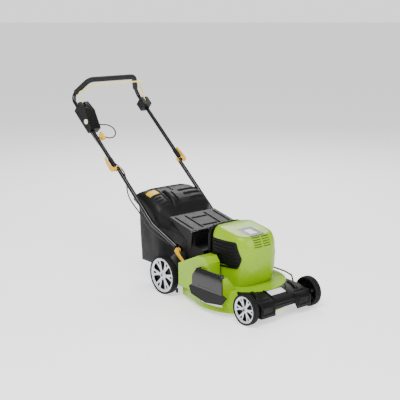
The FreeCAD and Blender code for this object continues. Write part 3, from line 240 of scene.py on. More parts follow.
# The same resin in a lighter grey, for the catcher's lid and the flap.
grey_plastic = finish("textured_polypropylene_grey", "#0D0C0C", "#131211", 0.5, 0.9, 0.3,
                      **{"Specular IOR Level": 0.22})
# Polished polypropylene: the side flap's hood, dark with soft bright reflections.
glossy_black = finish("polished_polypropylene_black", "#101011", "#161617", 0.24, 1.5, 0.08)
# The shaded bottom of a slot in the lime moulding.
dark_green = finish("slot_shadow_green", "#2C4300", "#344D00", 0.6, 2, 0.05)
# Silver paint on a wheel disc: tiny flakes that read as satin.
silver_plastic = finish("silver_painted_disc", "#C9CCD1", "#D6D8DC", 0.34, 0.7, 0.1, metal=0.35)
# Yellow nylon, slightly waxy.
yellow_plastic = finish("moulded_nylon_yellow", "#E0AE00", "#E8B800", 0.4, 1.2, 0.12,
                        **{"Specular IOR Level": 0.3})
# Thin yellow coating on the switch rod.
yellow_enamel = finish("dipped_coating_yellow", "#F0DE5A", "#F5E66C", 0.35, 1.5, 0.1)
# Pale cream button.
cream_plastic = finish("moulded_abs_cream", "#EFE9C4", "#F3EFD2", 0.4, 1.2, 0.08)
# Printed film with nothing printed on it.
label_film = finish("blank_label_film", "#DADCDD", "#E4E5E6", 0.42, 4, 0.03)
# The dark grey film of the sticker on the cowl.
dark_film = finish("blank_dark_film", "#4A4C4D", "#525455", 0.36, 4, 0.03)
# Vulcanised rubber: flat black with a chalky bloom.
tyre_rubber = finish("vulcanised_rubber", "#0B0B0B", "#111111", 0.7, 1.4, 0.3,
                     **{"Specular IOR Level": 0.3})
# Powder coated tube: black with a clear, slightly rippled gloss.
black_tube = finish("gloss_powder_coat_black", "#060606", "#0A0A0A", 0.22, 2.5, 0.06)
# Closed cell foam: soft black with pits about a millimetre across.
foam_rubber = finish("closed_cell_foam", "#0B0A0A", "#131212", 0.8, 1.1, 0.9)
# Extruded rubber sheath.
cable_rubber = finish("extruded_sheath", "#080808", "#0D0D0D", 0.5, 2, 0.1)
# Enamel on stamped brackets.
bracket_enamel = finish("stoved_enamel_black", "#08080A", "#0E0E10", 0.34, 2.5, 0.1)
# Zinc plating: a bluish grey with dull patches.
zinc_steel = finish("zinc_plating", "#9EA3A8", "#B4B8BB", 0.36, 1.5, 0.1, metal=1.0, patch_mm=12)
# Hardened blade steel.
blade_steel = finish("hardened_steel", "#6B6C6E", "#7E7F80", 0.42, 1.5, 0.15, metal=1.0,
                     patch_mm=20)
# Stacked steel sheets of a motor.
motor_steel = finish("laminated_steel", "#77797C", "#86888A", 0.45, 1.2, 0.2, metal=1.0,
                     patch_mm=15)
print("finishes", len(bpy.data.materials))

# %% [markdown]
# ## A finish for cloth
#
# The catcher's bag is a coarse woven polyester. Its threads are about 1.1 mm apart, finer than
# the view shows, so the weave is drawn at 2 mm. Two sets of bands cross at right angles, one for
# each set of threads, and their product gives the little squares.

# %% Woven polyester
bag_fabric, tree = new_material("woven_polyester_black")
place = node(tree, "ShaderNodeTexCoord").outputs["Object"]
split = node(tree, "ShaderNodeSeparateXYZ", {"Vector": place})
THREAD = 0.002


def bands(value):
    """Rounded ridges one thread apart along a coordinate."""
    turns = node(tree, "ShaderNodeMath", {0: value, 1: math.tau / THREAD}, operation="MULTIPLY")
    wave = node(tree, "ShaderNodeMath", {0: turns.outputs[0]}, operation="SINE")
    return node(tree, "ShaderNodeMapRange", {"Value": wave.outputs[0], "From Min": -1.0}).outputs[0]


level = node(tree, "ShaderNodeMath", {0: split.outputs["X"], 1: split.outputs["Y"]})
weave = node(tree, "ShaderNodeMath", {0: bands(level.outputs[0]), 1: bands(split.outputs["Z"])},
             operation="MULTIPLY")
dust = node(tree, "ShaderNodeTexNoise", {"Vector": place, "Scale": 14.0, "Detail": 4.0})
tone = node(tree, "ShaderNodeMix", {"Factor": weave.outputs[0]}, data_type="RGBA")
tone.inputs[6].default_value = linear("#080808")
tone.inputs[7].default_value = linear("#1E1D1E")
faded = node(tree, "ShaderNodeMix", {"Factor": dust.outputs[0], 6: tone.outputs[2]},
             data_type="RGBA")
faded.inputs[7].default_value = linear("#151415")
raised = node(tree, "ShaderNodeBump", {"Height": weave.outputs[0], "Strength": 0.5,
                                       "Distance": 0.0006})
cloth = node(tree, "ShaderNodeBsdfPrincipled",
             {"Base Color": faded.outputs[2], "Roughness": 0.85, "Sheen Weight": 0.1,
              "Normal": raised.outputs[0]})
node(tree, "ShaderNodeOutputMaterial", {"Surface": cloth.outputs[0]})
print("weave drawn every", THREAD * 1000, "mm")

# %% [markdown]
# ## Cords
#
# A lead is one smooth line with a round section. It is drawn as a spline whose control points
# are the corners of its route, so it leaves each corner rounded, as rubber does. The points are
# in metres in the handle's own axes, and the handle's matrix puts them in place.

# %% A spline along a route
def route_curve(name, points, radius):
    """An open smooth curve along the handle with a round section."""
    curve = bpy.data.curves.new(name, "CURVE")
    curve.dimensions = "3D"
    curve.resolution_u = 10
    spline = curve.splines.new("NURBS")
    spline.points.add(len(points) - 1)
    for knot, point in zip(spline.points, points):
        knot.co = (*(HANDLE_AXES @ Vector(point)), 1)
    spline.order_u = 3
    spline.use_endpoint_u = True
    curve.bevel_depth = radius
    curve.bevel_resolution = 3
    curve.use_fill_caps = True
    return smooth_object(name, curve)


def line_of(curve_item):
    """The points of a curve's own line, read from a copy without thickness."""
    thin = curve_item.copy()
    thin.data = curve_item.data.copy()
    thin.data.bevel_depth = 0
    bpy.context.scene.collection.objects.link(thin)
    bpy.context.view_layer.update()
    mesh = bpy.data.meshes.new_from_object(thin.evaluated_get(
        bpy.context.evaluated_depsgraph_get()))
    points = [vertex.co.copy() for vertex in mesh.vertices]
    bpy.data.objects.remove(thin)
    return points


def length_of(points):
    """The length of a line through some points."""
    return sum((after - before).length for before, after in zip(points, points[1:]))


LEAD_RADIUS = 0.0035
plug_route = [(-0.1825, 0.314, 0.010), (-0.1625, 0.310, 0.012), (-0.1265, 0.300, 0.020),
              (-0.1005, 0.270, 0.022), (-0.1005, 0.234, 0.018), (-0.1285, 0.206, 0.014),
              (-0.1665, 0.210, 0.010), (-0.1845, 0.234, 0.008), (-0.1885, 0.260, 0.008)]
plug_lead = route_curve("plug_lead_loop", plug_route, LEAD_RADIUS)
plug_lead.data.materials.append(cable_rubber)
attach(plug_lead, "upper_handle")
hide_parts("plug_lead")
plug_line = line_of(plug_lead)
print("plug lead", round(length_of(plug_line), 3), "m")

# %% [markdown]
# ## The motor cable
#
# The cable runs from the switch box down the near tube and past the folding joint. When the
# handle folds, the real cable has to bend with it; here its curve is only turned into one mesh.

# %% The motor cable
motor_route = [(-0.2225, 0.288, -0.017), (-0.2255, 0.254, -0.016), (-0.2225, 0.214, -0.017),
               (-0.2185, 0.165, -0.016), (-0.2145, 0.118, -0.018), (-0.2060, 0.078, -0.017),
               (-0.1970, 0.044, -0.012), (-0.1920, 0.024, -0.007), (-0.1920, 0.007, -0.002),
               (-0.1920, -0.007, 0.002), (-0.1920, -0.024, 0.007), (-0.1920, -0.048, 0.002),
               (-0.1950, -0.076, -0.010), (-0.2020, -0.106, -0.024), (-0.2130, -0.144, -0.036),
               (-0.2200, -0.190, -0.038), (-0.2230, -0.240, -0.030), (-0.2210, -0.295, -0.026),
               (-0.2200, -0.345, -0.034), (-0.2110, -0.395, -0.038), (-0.1970, -0.440, -0.034),
               (-0.1820, -0.480, -0.025), (-0.1670, -0.520, -0.017)]
cable_curve = route_curve("motor_cable_curve", motor_route, LEAD_RADIUS)
motor_line = line_of(cable_curve)
bpy.context.view_layer.update()
cable_mesh = bpy.data.meshes.new_from_object(
    cable_curve.evaluated_get(bpy.context.evaluated_depsgraph_get()))
bpy.data.objects.remove(cable_curve)
cable_mesh.materials.clear()
cable_mesh.materials.append(cable_rubber)
motor_cable = smooth_object("motor_cable", cable_mesh)
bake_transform(motor_cable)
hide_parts("motor_cable_upper", "motor_cable_lower")
print("motor cable", round(length_of(motor_line), 3), "m")

# %% [markdown]
# ## Tools for making shapes
#
# Most parts are a drawn outline given a depth, or a profile turned round an axis, with their
# edges rounded afterwards. Rounded edges matter more than any texture: each one catches a thin
# line of light, and a sharp edge looks like paper.

# %% Outlines, turned shapes and blocks
AXIS = {"x": Vector((1, 0, 0)), "y": Vector((0, 1, 0)), "z": Vector((0, 0, 1))}
FACING = {"x": lambda u, v, w: (w, u, v), "y": lambda u, v, w: (u, w, v),
          "z": lambda u, v, w: (u, v, w)}


def plate(form, outline, start, depth, facing="x"):
    """A flat outline given a depth. Facing x, the outline is (y, z); facing y, (x, z)."""
    corners = [form.verts.new(FACING[facing](u, v, start)) for u, v in outline]
    face = form.faces.new(corners)
    grown = bmesh.ops.extrude_face_region(form, geom=[face])["geom"]
    moved = [item for item in grown if isinstance(item, bmesh.types.BMVert)]
    bmesh.ops.translate(form, verts=moved, vec=AXIS[facing] * depth)


def turned(form, profile, centre, axis="x", steps=48):
    """A closed ring shape: the profile is (distance along the axis, radius)."""
    side = {"x": "z", "y": "z", "z": "x"}[axis]
    centre = Vector(centre)
    ring = [form.verts.new(centre + AXIS[axis] * along + AXIS[side] * radius)
            for along, radius in profile]
    edges = [form.edges.new(pair) for pair in zip(ring, ring[1:])]
    if profile[0][1] > 0:
        edges.append(form.edges.new((ring[-1], ring[0])))
    bmesh.ops.spin(form, geom=ring + edges, cent=centre, axis=AXIS[axis], angle=math.tau,
                   steps=steps, use_merge=True)
    bmesh.ops.remove_doubles(form, verts=form.verts, dist=0.0005)


def block(form, low, high):
    """A plain block between two corners, for rounding later."""
    low, high = Vector(low), Vector(high)
    made = bmesh.ops.create_cube(form, size=1)["verts"]
    size = high - low
    bmesh.ops.scale(form, verts=made, vec=size)
    bmesh.ops.translate(form, verts=made, vec=(low + high) / 2)
    return made


def soften(form, radius, segments=2, angle=32):
    """Rounds every edge that turns by more than the angle."""
    sharp = [edge for edge in form.edges
             if len(edge.link_faces) == 2 and edge.calc_face_angle(0) > math.radians(angle)]
    bmesh.ops.bevel(form, geom=sharp, offset=radius, offset_type="OFFSET", segments=segments,
                    profile=0.5, affect="EDGES", material=-1, clamp_overlap=True)


def piece(name, form, body, material, stands_for=(), place=MOWER, crease=48):
    """Finishes a bmesh as a named piece that rides on a body."""
    bmesh.ops.remove_doubles(form, verts=form.verts, dist=0.0005)
    bmesh.ops.recalc_face_normals(form, faces=form.faces)
    bmesh.ops.transform(form, matrix=place, verts=form.verts)
    for face in form.faces:
        face.smooth = True
    for edge in form.edges:
        edge.smooth = len(edge.link_faces) == 2 and edge.calc_face_angle(0) < math.radians(crease)
    mesh = bpy.data.meshes.new(name)
    form.to_mesh(mesh)
    form.free()
    mesh.materials.append(material)
    item = smooth_object(name, mesh)
    item.modifiers.new("even_shading", "WEIGHTED_NORMAL").keep_sharp = True
    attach(item, body)
    if stands_for:
        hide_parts(*stands_for)
    return item


body_of_node = {name: body for body, names in
                frame["record"]["behaviour"]["bodies"].items() for name in names}


def copied(node_name):
    """A frame part drawn in mower millimetres, its triangles joined into faces."""
    form = bmesh.new()
    form.from_mesh(frame["nodes"][node_name].data)
    bmesh.ops.transform(form, matrix=MOWER.inverted(), verts=form.verts)
    bmesh.ops.remove_doubles(form, verts=form.verts, dist=0.005)
    bmesh.ops.dissolve_limit(form, angle_limit=math.radians(0.8), verts=form.verts,
                             edges=form.edges)
    return form


def softened(node_name, radius, material, segments=2, angle=32):
    """A copy of a frame part with rounded edges."""
    form = copied(node_name)
    soften(form, radius, segments, angle)
    return piece(f"{node_name}_skin", form, body_of_node[node_name], material, [node_name])


def along_path(path, share):
    """The point at a share of a path's length, and the path's direction there."""
    lengths = [(after - before).length for before, after in zip(path, path[1:])]
    reach = share * sum(lengths)
    for before, after, length in zip(path, path[1:], lengths):
        if reach <= length or after is path[-1]:
            return before.lerp(after, min(1, reach / length)), (after - before).normalized()
        reach -= length


def between(stations, place):
    """The value at a place along a line of (place, value) stations."""
    for (near, low), (far, high) in zip(stations, stations[1:]):
        if place <= far:
            return low + (high - low) * max(0, place - near) / (far - near)
    return stations[-1][1]


def laid(form, ground, path, width, height, toward=(0, 0, -1), crown=4, ends=10, sunk=3,
         steps=24):
    """A rib laid on a surface: a strip dropped on it in one direction, domed and closed below."""
    path, toward = [Vector(point) for point in path], Vector(toward)
    strip = bmesh.ops.create_grid(form, x_segments=steps, y_segments=8, size=1)["verts"]
    for corner in strip:
        share, off = (corner.co.x + 1) / 2, corner.co.y
        spot, along = along_path(path, share)
        start = spot + toward.cross(along).normalized() * off * width / 2 - toward * 900
        found = ground.ray_cast(start, toward)[0] or ground.find_nearest(spot)[0]
        rise = height * (1 - abs(off) ** crown) * min(1, share * ends, (1 - share) * ends)
        corner.co = found - toward * rise
    faces = list({face for corner in strip for face in corner.link_faces})
    grown = bmesh.ops.extrude_face_region(form, geom=faces)["geom"]
    bmesh.ops.translate(form, vec=toward * sunk,
                        verts=[item for item in grown if isinstance(item, bmesh.types.BMVert)])


def surface_of(form):
    """The form's present surface, ready for strips to be laid on it."""
    bmesh.ops.recalc_face_normals(form, faces=form.faces)
    return BVHTree.FromBMesh(form)


def sliced(form, axis, positions):
    """Cuts a form across one axis, so that it can bend there."""
    for position in positions:
        bmesh.ops.bisect_plane(form, geom=form.verts[:] + form.edges[:] + form.faces[:],
                               plane_co=AXIS[axis] * position, plane_no=AXIS[axis])


# %% [markdown]
# ## Wheels
#
# A mower wheel is a black plastic core with a rubber tyre pressed on and a silver trim disc on
# its outer side. Everything is a profile turned round the axle. The trim's twelve windows are
# faces deleted from the turned disc: six wide ones, and six slits that split each spoke into a Y.
# Subdivision then rounds the windows' corners, as moulding does.

# %% One wheel
WHEEL_STEPS = 72


def wheel_place(tyre):
    """The matrix that puts a wheel drawn round the origin, outward along +x, where it belongs."""
    low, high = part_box(tyre)
    turn = math.pi if tyre.endswith("right") else 0
    return Matrix.Translation((low + high) / 2) @ Matrix.Rotation(turn, 4, "Z") @ MM


def tread(name, body, half, radius, place):
    """The rubber: round shoulders, three grooves and a notched edge on both sides."""
    groove = half * 0.42
    side = [(-half + 0.5, radius - 9), (-half, radius - 7.5), (-half, radius - 4.5),
            (-half + 2.5, radius - 1.2)]
    grooves = []
    for middle in (-groove, 0, groove):
        grooves += [(middle - 1.3, radius), (middle - 0.8, radius - 2.2),
                    (middle + 0.8, radius - 2.2), (middle + 1.3, radius)]
    profile = side + grooves + [(-along, up) for along, up in reversed(side)]
    form = bmesh.new()
    turned(form, profile, (0, 0, 0), steps=WHEEL_STEPS)
    bmesh.ops.recalc_face_normals(form, faces=form.faces)
    edge_faces = []
    for face in form.faces:
        middle = face.calc_center_median()
        spin_step = int((math.degrees(math.atan2(middle.y, middle.z)) % 360) / 5)
        on_shoulder = groove + 1.3 < abs(middle.x) < half - 1
        if on_shoulder and spin_step % 2 == 0 and math.hypot(middle.y, middle.z) > radius - 2:
            edge_faces.append(face)
    bmesh.ops.inset_individual(form, faces=edge_faces, thickness=0.8, depth=-2.0)
    piece(name, form, body, tyre_rubber, [name.replace("rubber", "tyre")], place)


def trim_disc(name, body, half, radius, place):
    """The silver disc with its windows."""
    rim, out = radius - 9, half - 3
    profile = [(out - 1, 0), (out - 1, 6), (out - 1.6, 9), (out - 4, 11.5), (out - 5.5, 13.5),
               (out - 6.5, 0.27 * rim), (out - 7, 0.42 * rim), (out - 6.5, 0.62 * rim),
               (out - 5, 0.82 * rim), (out - 2, 0.88 * rim), (out - 0.3, 0.93 * rim),
               (out - 0.6, 0.975 * rim), (out - 3, 0.995 * rim), (out - 8, 0.995 * rim)]
    form = bmesh.new()
    turned(form, profile, (0, 0, 0), steps=WHEEL_STEPS)
    windows = []
    for face in form.faces:
        middle = face.calc_center_median()
        reach = math.hypot(middle.y, middle.z) / rim
        turn = (math.degrees(math.atan2(middle.y, middle.z)) + 30) % 60 - 30
        wide = abs(turn) < 14 and 0.3 < reach < 0.82
        slit = abs(turn) > 26 and 0.6 < reach < 0.82
        if wide or slit:
            windows.append(face)
    bmesh.ops.delete(form, geom=windows, context="FACES")
    item = piece(name, form, body, silver_plastic,
                 [name.replace("trim", "rim")], place, crease=80)
    thick = item.modifiers.new("wall", "SOLIDIFY")
    thick.thickness = 0.0025
    thick.offset = -1
    round_off = item.modifiers.new("soft_corners", "SUBSURF")
    round_off.levels = round_off.render_levels = 1


def wheel_core(name, body, half, radius, place):
    """The black core behind the trim, with ribs on its inner side."""
    rim, out = radius - 9, half - 3
    form = bmesh.new()
    turned(form, [(-half + 3, 7), (-half + 3, 15), (-3, 18), (-3, rim - 6), (-half + 2.5, rim - 4),
                  (-half + 2.5, rim - 0.2), (out - 9, rim - 0.2), (out - 9, rim - 3.5),
                  (-0.5, rim - 5), (-0.5, 18), (out - 9, 14), (out - 9, 7)], (0, 0, 0), steps=48)
    for index in range(12):
        rib = block(form, (-half + 6, -1.2, 14), (-2, 1.2, rim - 4))
        bmesh.ops.rotate(form, verts=rib, cent=(0, 0, 0),
                         matrix=Matrix.Rotation(math.tau * index / 12, 3, "X"))
    piece(name, form, body, black_plastic, (), place)


for end in ("front", "rear"):
    for hand in ("right", "left"):
        tyre = f"tyre_{end}_{hand}"
        low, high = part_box(tyre)
        half, radius = (high.x - low.x) * 500, (high.z - low.z) * 500
        place = wheel_place(tyre)
        body = f"{end}_wheel_{hand}"
        tread(f"rubber_{end}_{hand}", body, half, radius, place)
        trim_disc(f"trim_{end}_{hand}", body, half, radius, place)
        wheel_core(f"core_{end}_{hand}", body, half, radius, place)

# %% [markdown]
# ## The motor cowl
#
# The cowl is one moulding of lime ABS over the motor: a rounded block whose front leans in at the
# foot, whose top falls towards the front, and whose sides are almost flat. A loft suits it. One
# loop of edges starts as a circle, is pushed out to a squarish oval, and is extruded upwards ring
# by ring. Each ring has its own height and inset, and the last rings close over the top.

# %% The cowl's lofted shell
COWL_SEGMENTS = 96
COWL_FRONT = 104
COWL_BACK = 362
COWL_HALF = 128
COWL_FOOT = 123
cowl_middle = (COWL_FRONT + COWL_BACK) / 2
cowl_reach = (COWL_BACK - COWL_FRONT) / 2
# The roof's line from front to back: distance back and height.
COWL_ROOF = [(104, 366), (124, 369), (194, 377), (302, 396), (340, 394), (362, 388)]


def squarish(turn, power_front, power_back):
    """A point of a unit oval whose front is rounder than its back."""
    across, along = math.cos(turn), math.sin(turn)
    power = power_front if along < 0 else power_back
    return (math.copysign(abs(across) ** (2 / power), across),
            math.copysign(abs(along) ** (2 / power), along))


def cowl_ring(form, ring, height, front_inset, side_inset, roof_share=None, grow=1.0):
    """Moves one ring of the loft to its height. A roof share sets the height under the roof."""
    for index, corner in enumerate(ring):
        turn = math.tau * index / COWL_SEGMENTS
        across, along = squarish(turn, 3.2, 6)
        x = across * (COWL_HALF - side_inset) * grow
        inset = front_inset if along < 0 else min(front_inset, side_inset)
        y = cowl_middle + along * (cowl_reach - inset) * grow
        z = height
        if roof_share is not None:
            z = height + (between(COWL_ROOF, y) - height) * roof_share
        corner.co = (x, y, z)


form = bmesh.new()
ring = bmesh.ops.create_circle(form, segments=COWL_SEGMENTS, radius=1)["verts"]
cowl_ring(form, ring, COWL_FOOT + 1, 30, 4)
# Each ring: height, inset at the front, inset at the sides, share of the way to the roof, size.
rings = [(140, 22, 1, None, 1), (165, 13, 0, None, 1), (190, 5, 0, None, 1),
         (215, 1, 0, None, 1), (258, 0, 0, None, 1), (263, 0, 0, None, 1),
         (267, 2.2, 0.6, None, 1), (316, 2.2, 1, None, 1),
         (316, 9, 2, 0.35, 1), (316, 15, 5, 0.62, 1), (316, 20, 10, 0.82, 1),
         (316, 26, 16, 0.93, 1), (316, 34, 24, 0.985, 1), (316, 44, 34, 1.0, 1),
         (316, 44, 34, 1.0, 0.8), (316, 44, 34, 1.0, 0.55), (316, 44, 34, 1.0, 0.25)]
edges = form.edges[:]
for height, front_inset, side_inset, roof_share, grow in rings:
    grown = bmesh.ops.extrude_edge_only(form, edges=edges)["geom"]
    ring = [item for item in grown if isinstance(item, bmesh.types.BMVert)]
    ring.sort(key=lambda corner: math.atan2(corner.co.y - cowl_middle, corner.co.x) % math.tau)
    cowl_ring(form, ring, height, front_inset, side_inset, roof_share, grow)
    edges = [item for item in grown if isinstance(item, bmesh.types.BMEdge)
             and all(corner in ring for corner in item.verts)]
bmesh.ops.contextual_create(form, geom=edges)
hood = surface_of(form)
laid(form, hood, [(-104, 346, 0), (104, 346, 0)], 13, 4)
cowl = piece("cowl_hood", form, "deck", lime_plastic, ["cowl_shell"], crease=60)
print("cowl faces", len(cowl.data.polygons))

# %% [markdown]
# ## Vents, louvres and badge
#
# The motor breathes through black inserts in the cowl's sides and ten short slots in its front.
# Every insert has to follow the cowl's curve, so its strips are dropped on the cowl from outside,
# which is what a snap-in moulding does too. The badge is a blank dark film with a paler middle.

# %% Vents, louvres and badge
# The vent's outline: distance back and height. Its first three corners are its front edge.
VENT = [(158, 219), (142, 262), (172, 340), (358, 330), (358, 222), (286, 210)]
VENT_FRONT = [(height, back) for back, height in VENT[:3]]
form = bmesh.new()
for toward in ((1, 0, 0), (-1, 0, 0)):
    corners = [(0, y, z) for y, z in VENT]
    for first, second in zip(corners, corners[1:] + corners[:1]):
        laid(form, hood, [first, second], 9, 6, toward, ends=60)
    for level in range(222, 340, 4):
        laid(form, hood, [(0, between(VENT_FRONT, level) + 3, level), (0, 356, level)], 5, 0.9,
             toward, ends=90)
    for level in (236, 253, 270, 287, 304, 321):
        laid(form, hood, [(0, between(VENT_FRONT, level) + 6, level), (0, 354, level)], 8, 5.5,
             toward, ends=40)
piece("cowl_vent_inserts", form, "deck", black_plastic, ["cowl_vents"])

form = bmesh.new()
for column in (-30, 27):
    for level in (319, 330, 341, 352, 363):
        laid(form, hood, [(column - 24, 0, level), (column + 24, 0, level)], 5, 0.5, (0, 1, 0),
             ends=30, sunk=2)
piece("cowl_louvres", form, "deck", dark_green)

form = bmesh.new()
laid(form, hood, [(-10, 134, 0), (-10, 238, 0)], 96, 1.4, crown=30, ends=80)
piece("cowl_badge_border", form, "deck", dark_film, ["cowl_badge"])
form = bmesh.new()
laid(form, hood, [(-10, 158, 0), (-10, 214, 0)], 52, 2, crown=30, ends=80)
piece("cowl_badge_blank", form, "deck", label_film)

form = bmesh.new()
back_view = [(-116, 123), (-118, 340), (-108, 372), (-84, 388), (-40, 393), (40, 393), (84, 388),
             (108, 372), (118, 340), (116, 123)]
plate(form, back_view, 362.5, 20, "y")
soften(form, 7, 3, 20)
wall = surface_of(form)
for level in (160, 200, 240, 280, 320):
    laid(form, wall, [(-96, 0, level), (96, 0, level)], 12, 3, (0, -1, 0))
back_cover = piece("cowl_back_cover", form, "deck", black_plastic,
                   ["cowl_rear_cover"])
print("back cover faces", len(back_cover.data.polygons))

# %% [markdown]
# ## The front cover
#
# A black moulding bridges the front axle. Between its two square corner blocks its face is set
# back and lifted, and ribs run up its slope to carry the load of lifting the mower by its nose.

# %% The front cover
form = copied("front_cover")
sliced(form, "x", (-74, -67, 67, 74))
for corner in form.verts:
    if abs(corner.co.x) < 68 and corner.co.y < -30:
        corner.co.y += 11
        corner.co.z = max(corner.co.z, 55)
soften(form, 4, 3, 28)
cover = surface_of(form)
# Each rib is a start and an end seen from above, a width and a height.
COVER_RIBS = [((-58, 50, 0), (-56, -34, 0), 9, 6), ((103, 60, 0), (40, -22, 0), 9, 6),
              ((-120, 60, 0), (-138, -8, 0), 22, 11), ((138, 70, 0), (112, -20, 0), 22, 11),
              ((-150, -22, 0), (-80, -22, 0), 10, 5), ((80, -22, 0), (150, -22, 0), 10, 5)]
for start, end, width, height in COVER_RIBS:
    laid(form, cover, [start, end], width, height)
# A frame of four low ribs on each corner block's face, then one rib across the middle.
for low, high in ((-156, -84), (84, 156)):
    for level in (44, 78):
        laid(form, cover, [(low, 0, level), (high, 0, level)], 7, 4, (0, 1, 0))
    for x in (low, high):
        laid(form, cover, [(x, 0, 42), (x, 0, 80)], 7, 4, (0, 1, 0))
laid(form, cover, [(-60, 0, 70), (60, 0, 70)], 8, 4, (0, 1, 0))
piece("front_cover_skin", form, "deck", black_plastic, ["front_cover"])
form = bmesh.new()
laid(form, cover, [(-3, -4, 0), (-3, 31, 0)], 106, 1.6, crown=30, ends=60)
piece("front_label_blank", form, "deck", label_film, ["front_label"])
print("front cover ribs laid from above", len(COVER_RIBS))

# %% [markdown]
# ## The side flap
#
# The flap over the side discharge hangs from a sprung pin. Its upper part is a glossy hood that
# leans outwards and its lower part a flat skirt, wider than the hood, that stops stones. A small
# black tab sits low on the deck's side, further back.

# %% The side flap
form = bmesh.new()
# The hood's section: distances across and up.
hood_profile = [(-236, 210), (-244, 208), (-251, 199), (-256.5, 172), (-257.5, 120), (-253, 118),
                (-252, 168), (-247, 193), (-241, 203), (-236, 205)]
plate(form, hood_profile, 134, 186, "y")
for corner in form.verts:
    if corner.co.z < 180:
        corner.co.y += 18 if corner.co.y > 220 else -18
soften(form, 2, 2)
skirt = bmesh.new()
plate(skirt, [(112, 124), (342, 124), (362, 112), (346, 74), (238, 54), (118, 72), (80, 116)],
      -257, 4)
soften(skirt, 1.5, 2)
piece("side_flap_skirt", skirt, body_of_node["side_flap"], black_plastic)
flap_face = surface_of(form)
for back in range(150, 316, 15):
    laid(form, flap_face, [(0, back, 206), (0, back, 184)], 6, 1.4, (1, 0, 0), steps=8)
laid(form, flap_face, [(0, 150, 128), (0, 306, 128)], 6, 0.4, (1, 0, 0))
turned(form, [(-78, 2.2), (-78, 6), (78, 6), (78, 2.2)], (-238, 226.5, 205), "y", 24)
flap = piece("side_flap_skin", form, body_of_node["side_flap"], glossy_black,
             ["side_flap"])
form = bmesh.new()
block(form, (-243, 467, 40), (-237, 483, 66))
soften(form, 2)
piece("skirt_tab", form, "deck", black_plastic)
print("side flap faces", len(flap.data.polygons))

# %% [markdown]
# ## The rear flap
#
# The rear flap covers the chute when the catcher is off. Low ribs stiffen the thin hood.

# %% The rear flap
form = copied("rear_flap")
soften(form, 3, 3)
flap_top = surface_of(form)
for across in (-128, -64, 64, 128):
    laid(form, flap_top, [(across, 474, 0), (across, 628, 0)], 12, 5)
laid(form, flap_top, [(-52, 500, 0), (52, 500, 0)], 14, 5)
laid(form, flap_top, [(-52, 588, 0), (52, 588, 0)], 14, 5)
flap = piece("rear_flap_skin", form, body_of_node["rear_flap"], grey_plastic,
             ["rear_flap"])
print("rear flap faces", len(flap.data.polygons))

# %% [markdown]
# ## The catcher's lid
#
# The lid is one rounded shell with a narrow neck under the rear flap and a high crown behind. It
# is drawn as a grid whose rows are arches: each row has its own width, foot and top. A wide rib
# to the right of the middle is the carrying handle.

# %% The catcher's lid
# Each row: distance back, half width, foot and top of the arch.
LID_ROWS = [(516, 128, 282, 328), (545, 129, 286, 337), (585, 129, 293, 349), (630, 129, 301, 364),
            (664, 131, 308, 381), (684, 150, 318, 404), (704, 176, 328, 430), (730, 183, 341, 452),
            (765, 184, 360, 470), (800, 184, 378, 480), (835, 184, 397, 487), (865, 184, 412, 488),
            (890, 184, 425, 481), (912, 181, 433, 468), (925, 175, 436, 454), (929, 168, 438, 446)]


def lid_row(share):
    """The depth, half width, foot and top of the lid's arch at a share of its rows."""
    place = share * (len(LID_ROWS) - 1)
    index = min(int(place), len(LID_ROWS) - 2)
    before, after = LID_ROWS[index], LID_ROWS[index + 1]
    return [low + (high - low) * (place - index) for low, high in zip(before, after)]


form = bmesh.new()
arches = bmesh.ops.create_grid(form, x_segments=64, y_segments=60, size=1)["verts"]
for corner in arches:
    back, half, foot, top = lid_row((corner.co.y + 1) / 2)
    turn = math.pi * (1 - corner.co.x) / 2
    across = math.copysign(abs(math.cos(turn)) ** (2 / 5), math.cos(turn))
    up = abs(math.sin(turn)) ** (2 / 5)
    corner.co = (half * across, back, foot + (top - foot) * up)
bmesh.ops.smooth_vert(form, verts=[corner for corner in form.verts if not corner.is_boundary],
                      factor=0.5, use_axis_z=True)
lid_top = surface_of(form)
closing = [edge for edge in form.edges if edge.is_boundary
           and all(abs(corner.co.y - edge.verts[0].co.y) < 0.01 for corner in edge.verts)]
grown = bmesh.ops.extrude_edge_only(form, edges=closing)["geom"]
for corner in [item for item in grown if isinstance(item, bmesh.types.BMVert)]:
    corner.co.z = 282 if corner.co.y < 700 else 438
window = [face for face in form.faces if -154 < face.calc_center_median().x < -100
          and 796 < face.calc_center_median().y < 828]
bmesh.ops.delete(form, geom=window, context="FACES")
lid = piece("catcher_lid_shell", form, body_of_node["catcher_lid"], grey_plastic,
            ["catcher_lid"], crease=50)
wall = lid.modifiers.new("wall", "SOLIDIFY")
wall.thickness, wall.offset = 0.003, -1

form = bmesh.new()
# The carrying handle and the two ridges beside it.
laid(form, lid_top, [(-58, 812, 0), (-58, 760, 0), (-56, 690, 0)], 38, 15, ends=6, steps=40)
laid(form, lid_top, [(-28, 790, 0), (-24, 712, 0)], 12, 8)
laid(form, lid_top, [(-92, 790, 0), (-90, 712, 0)], 10, 5)
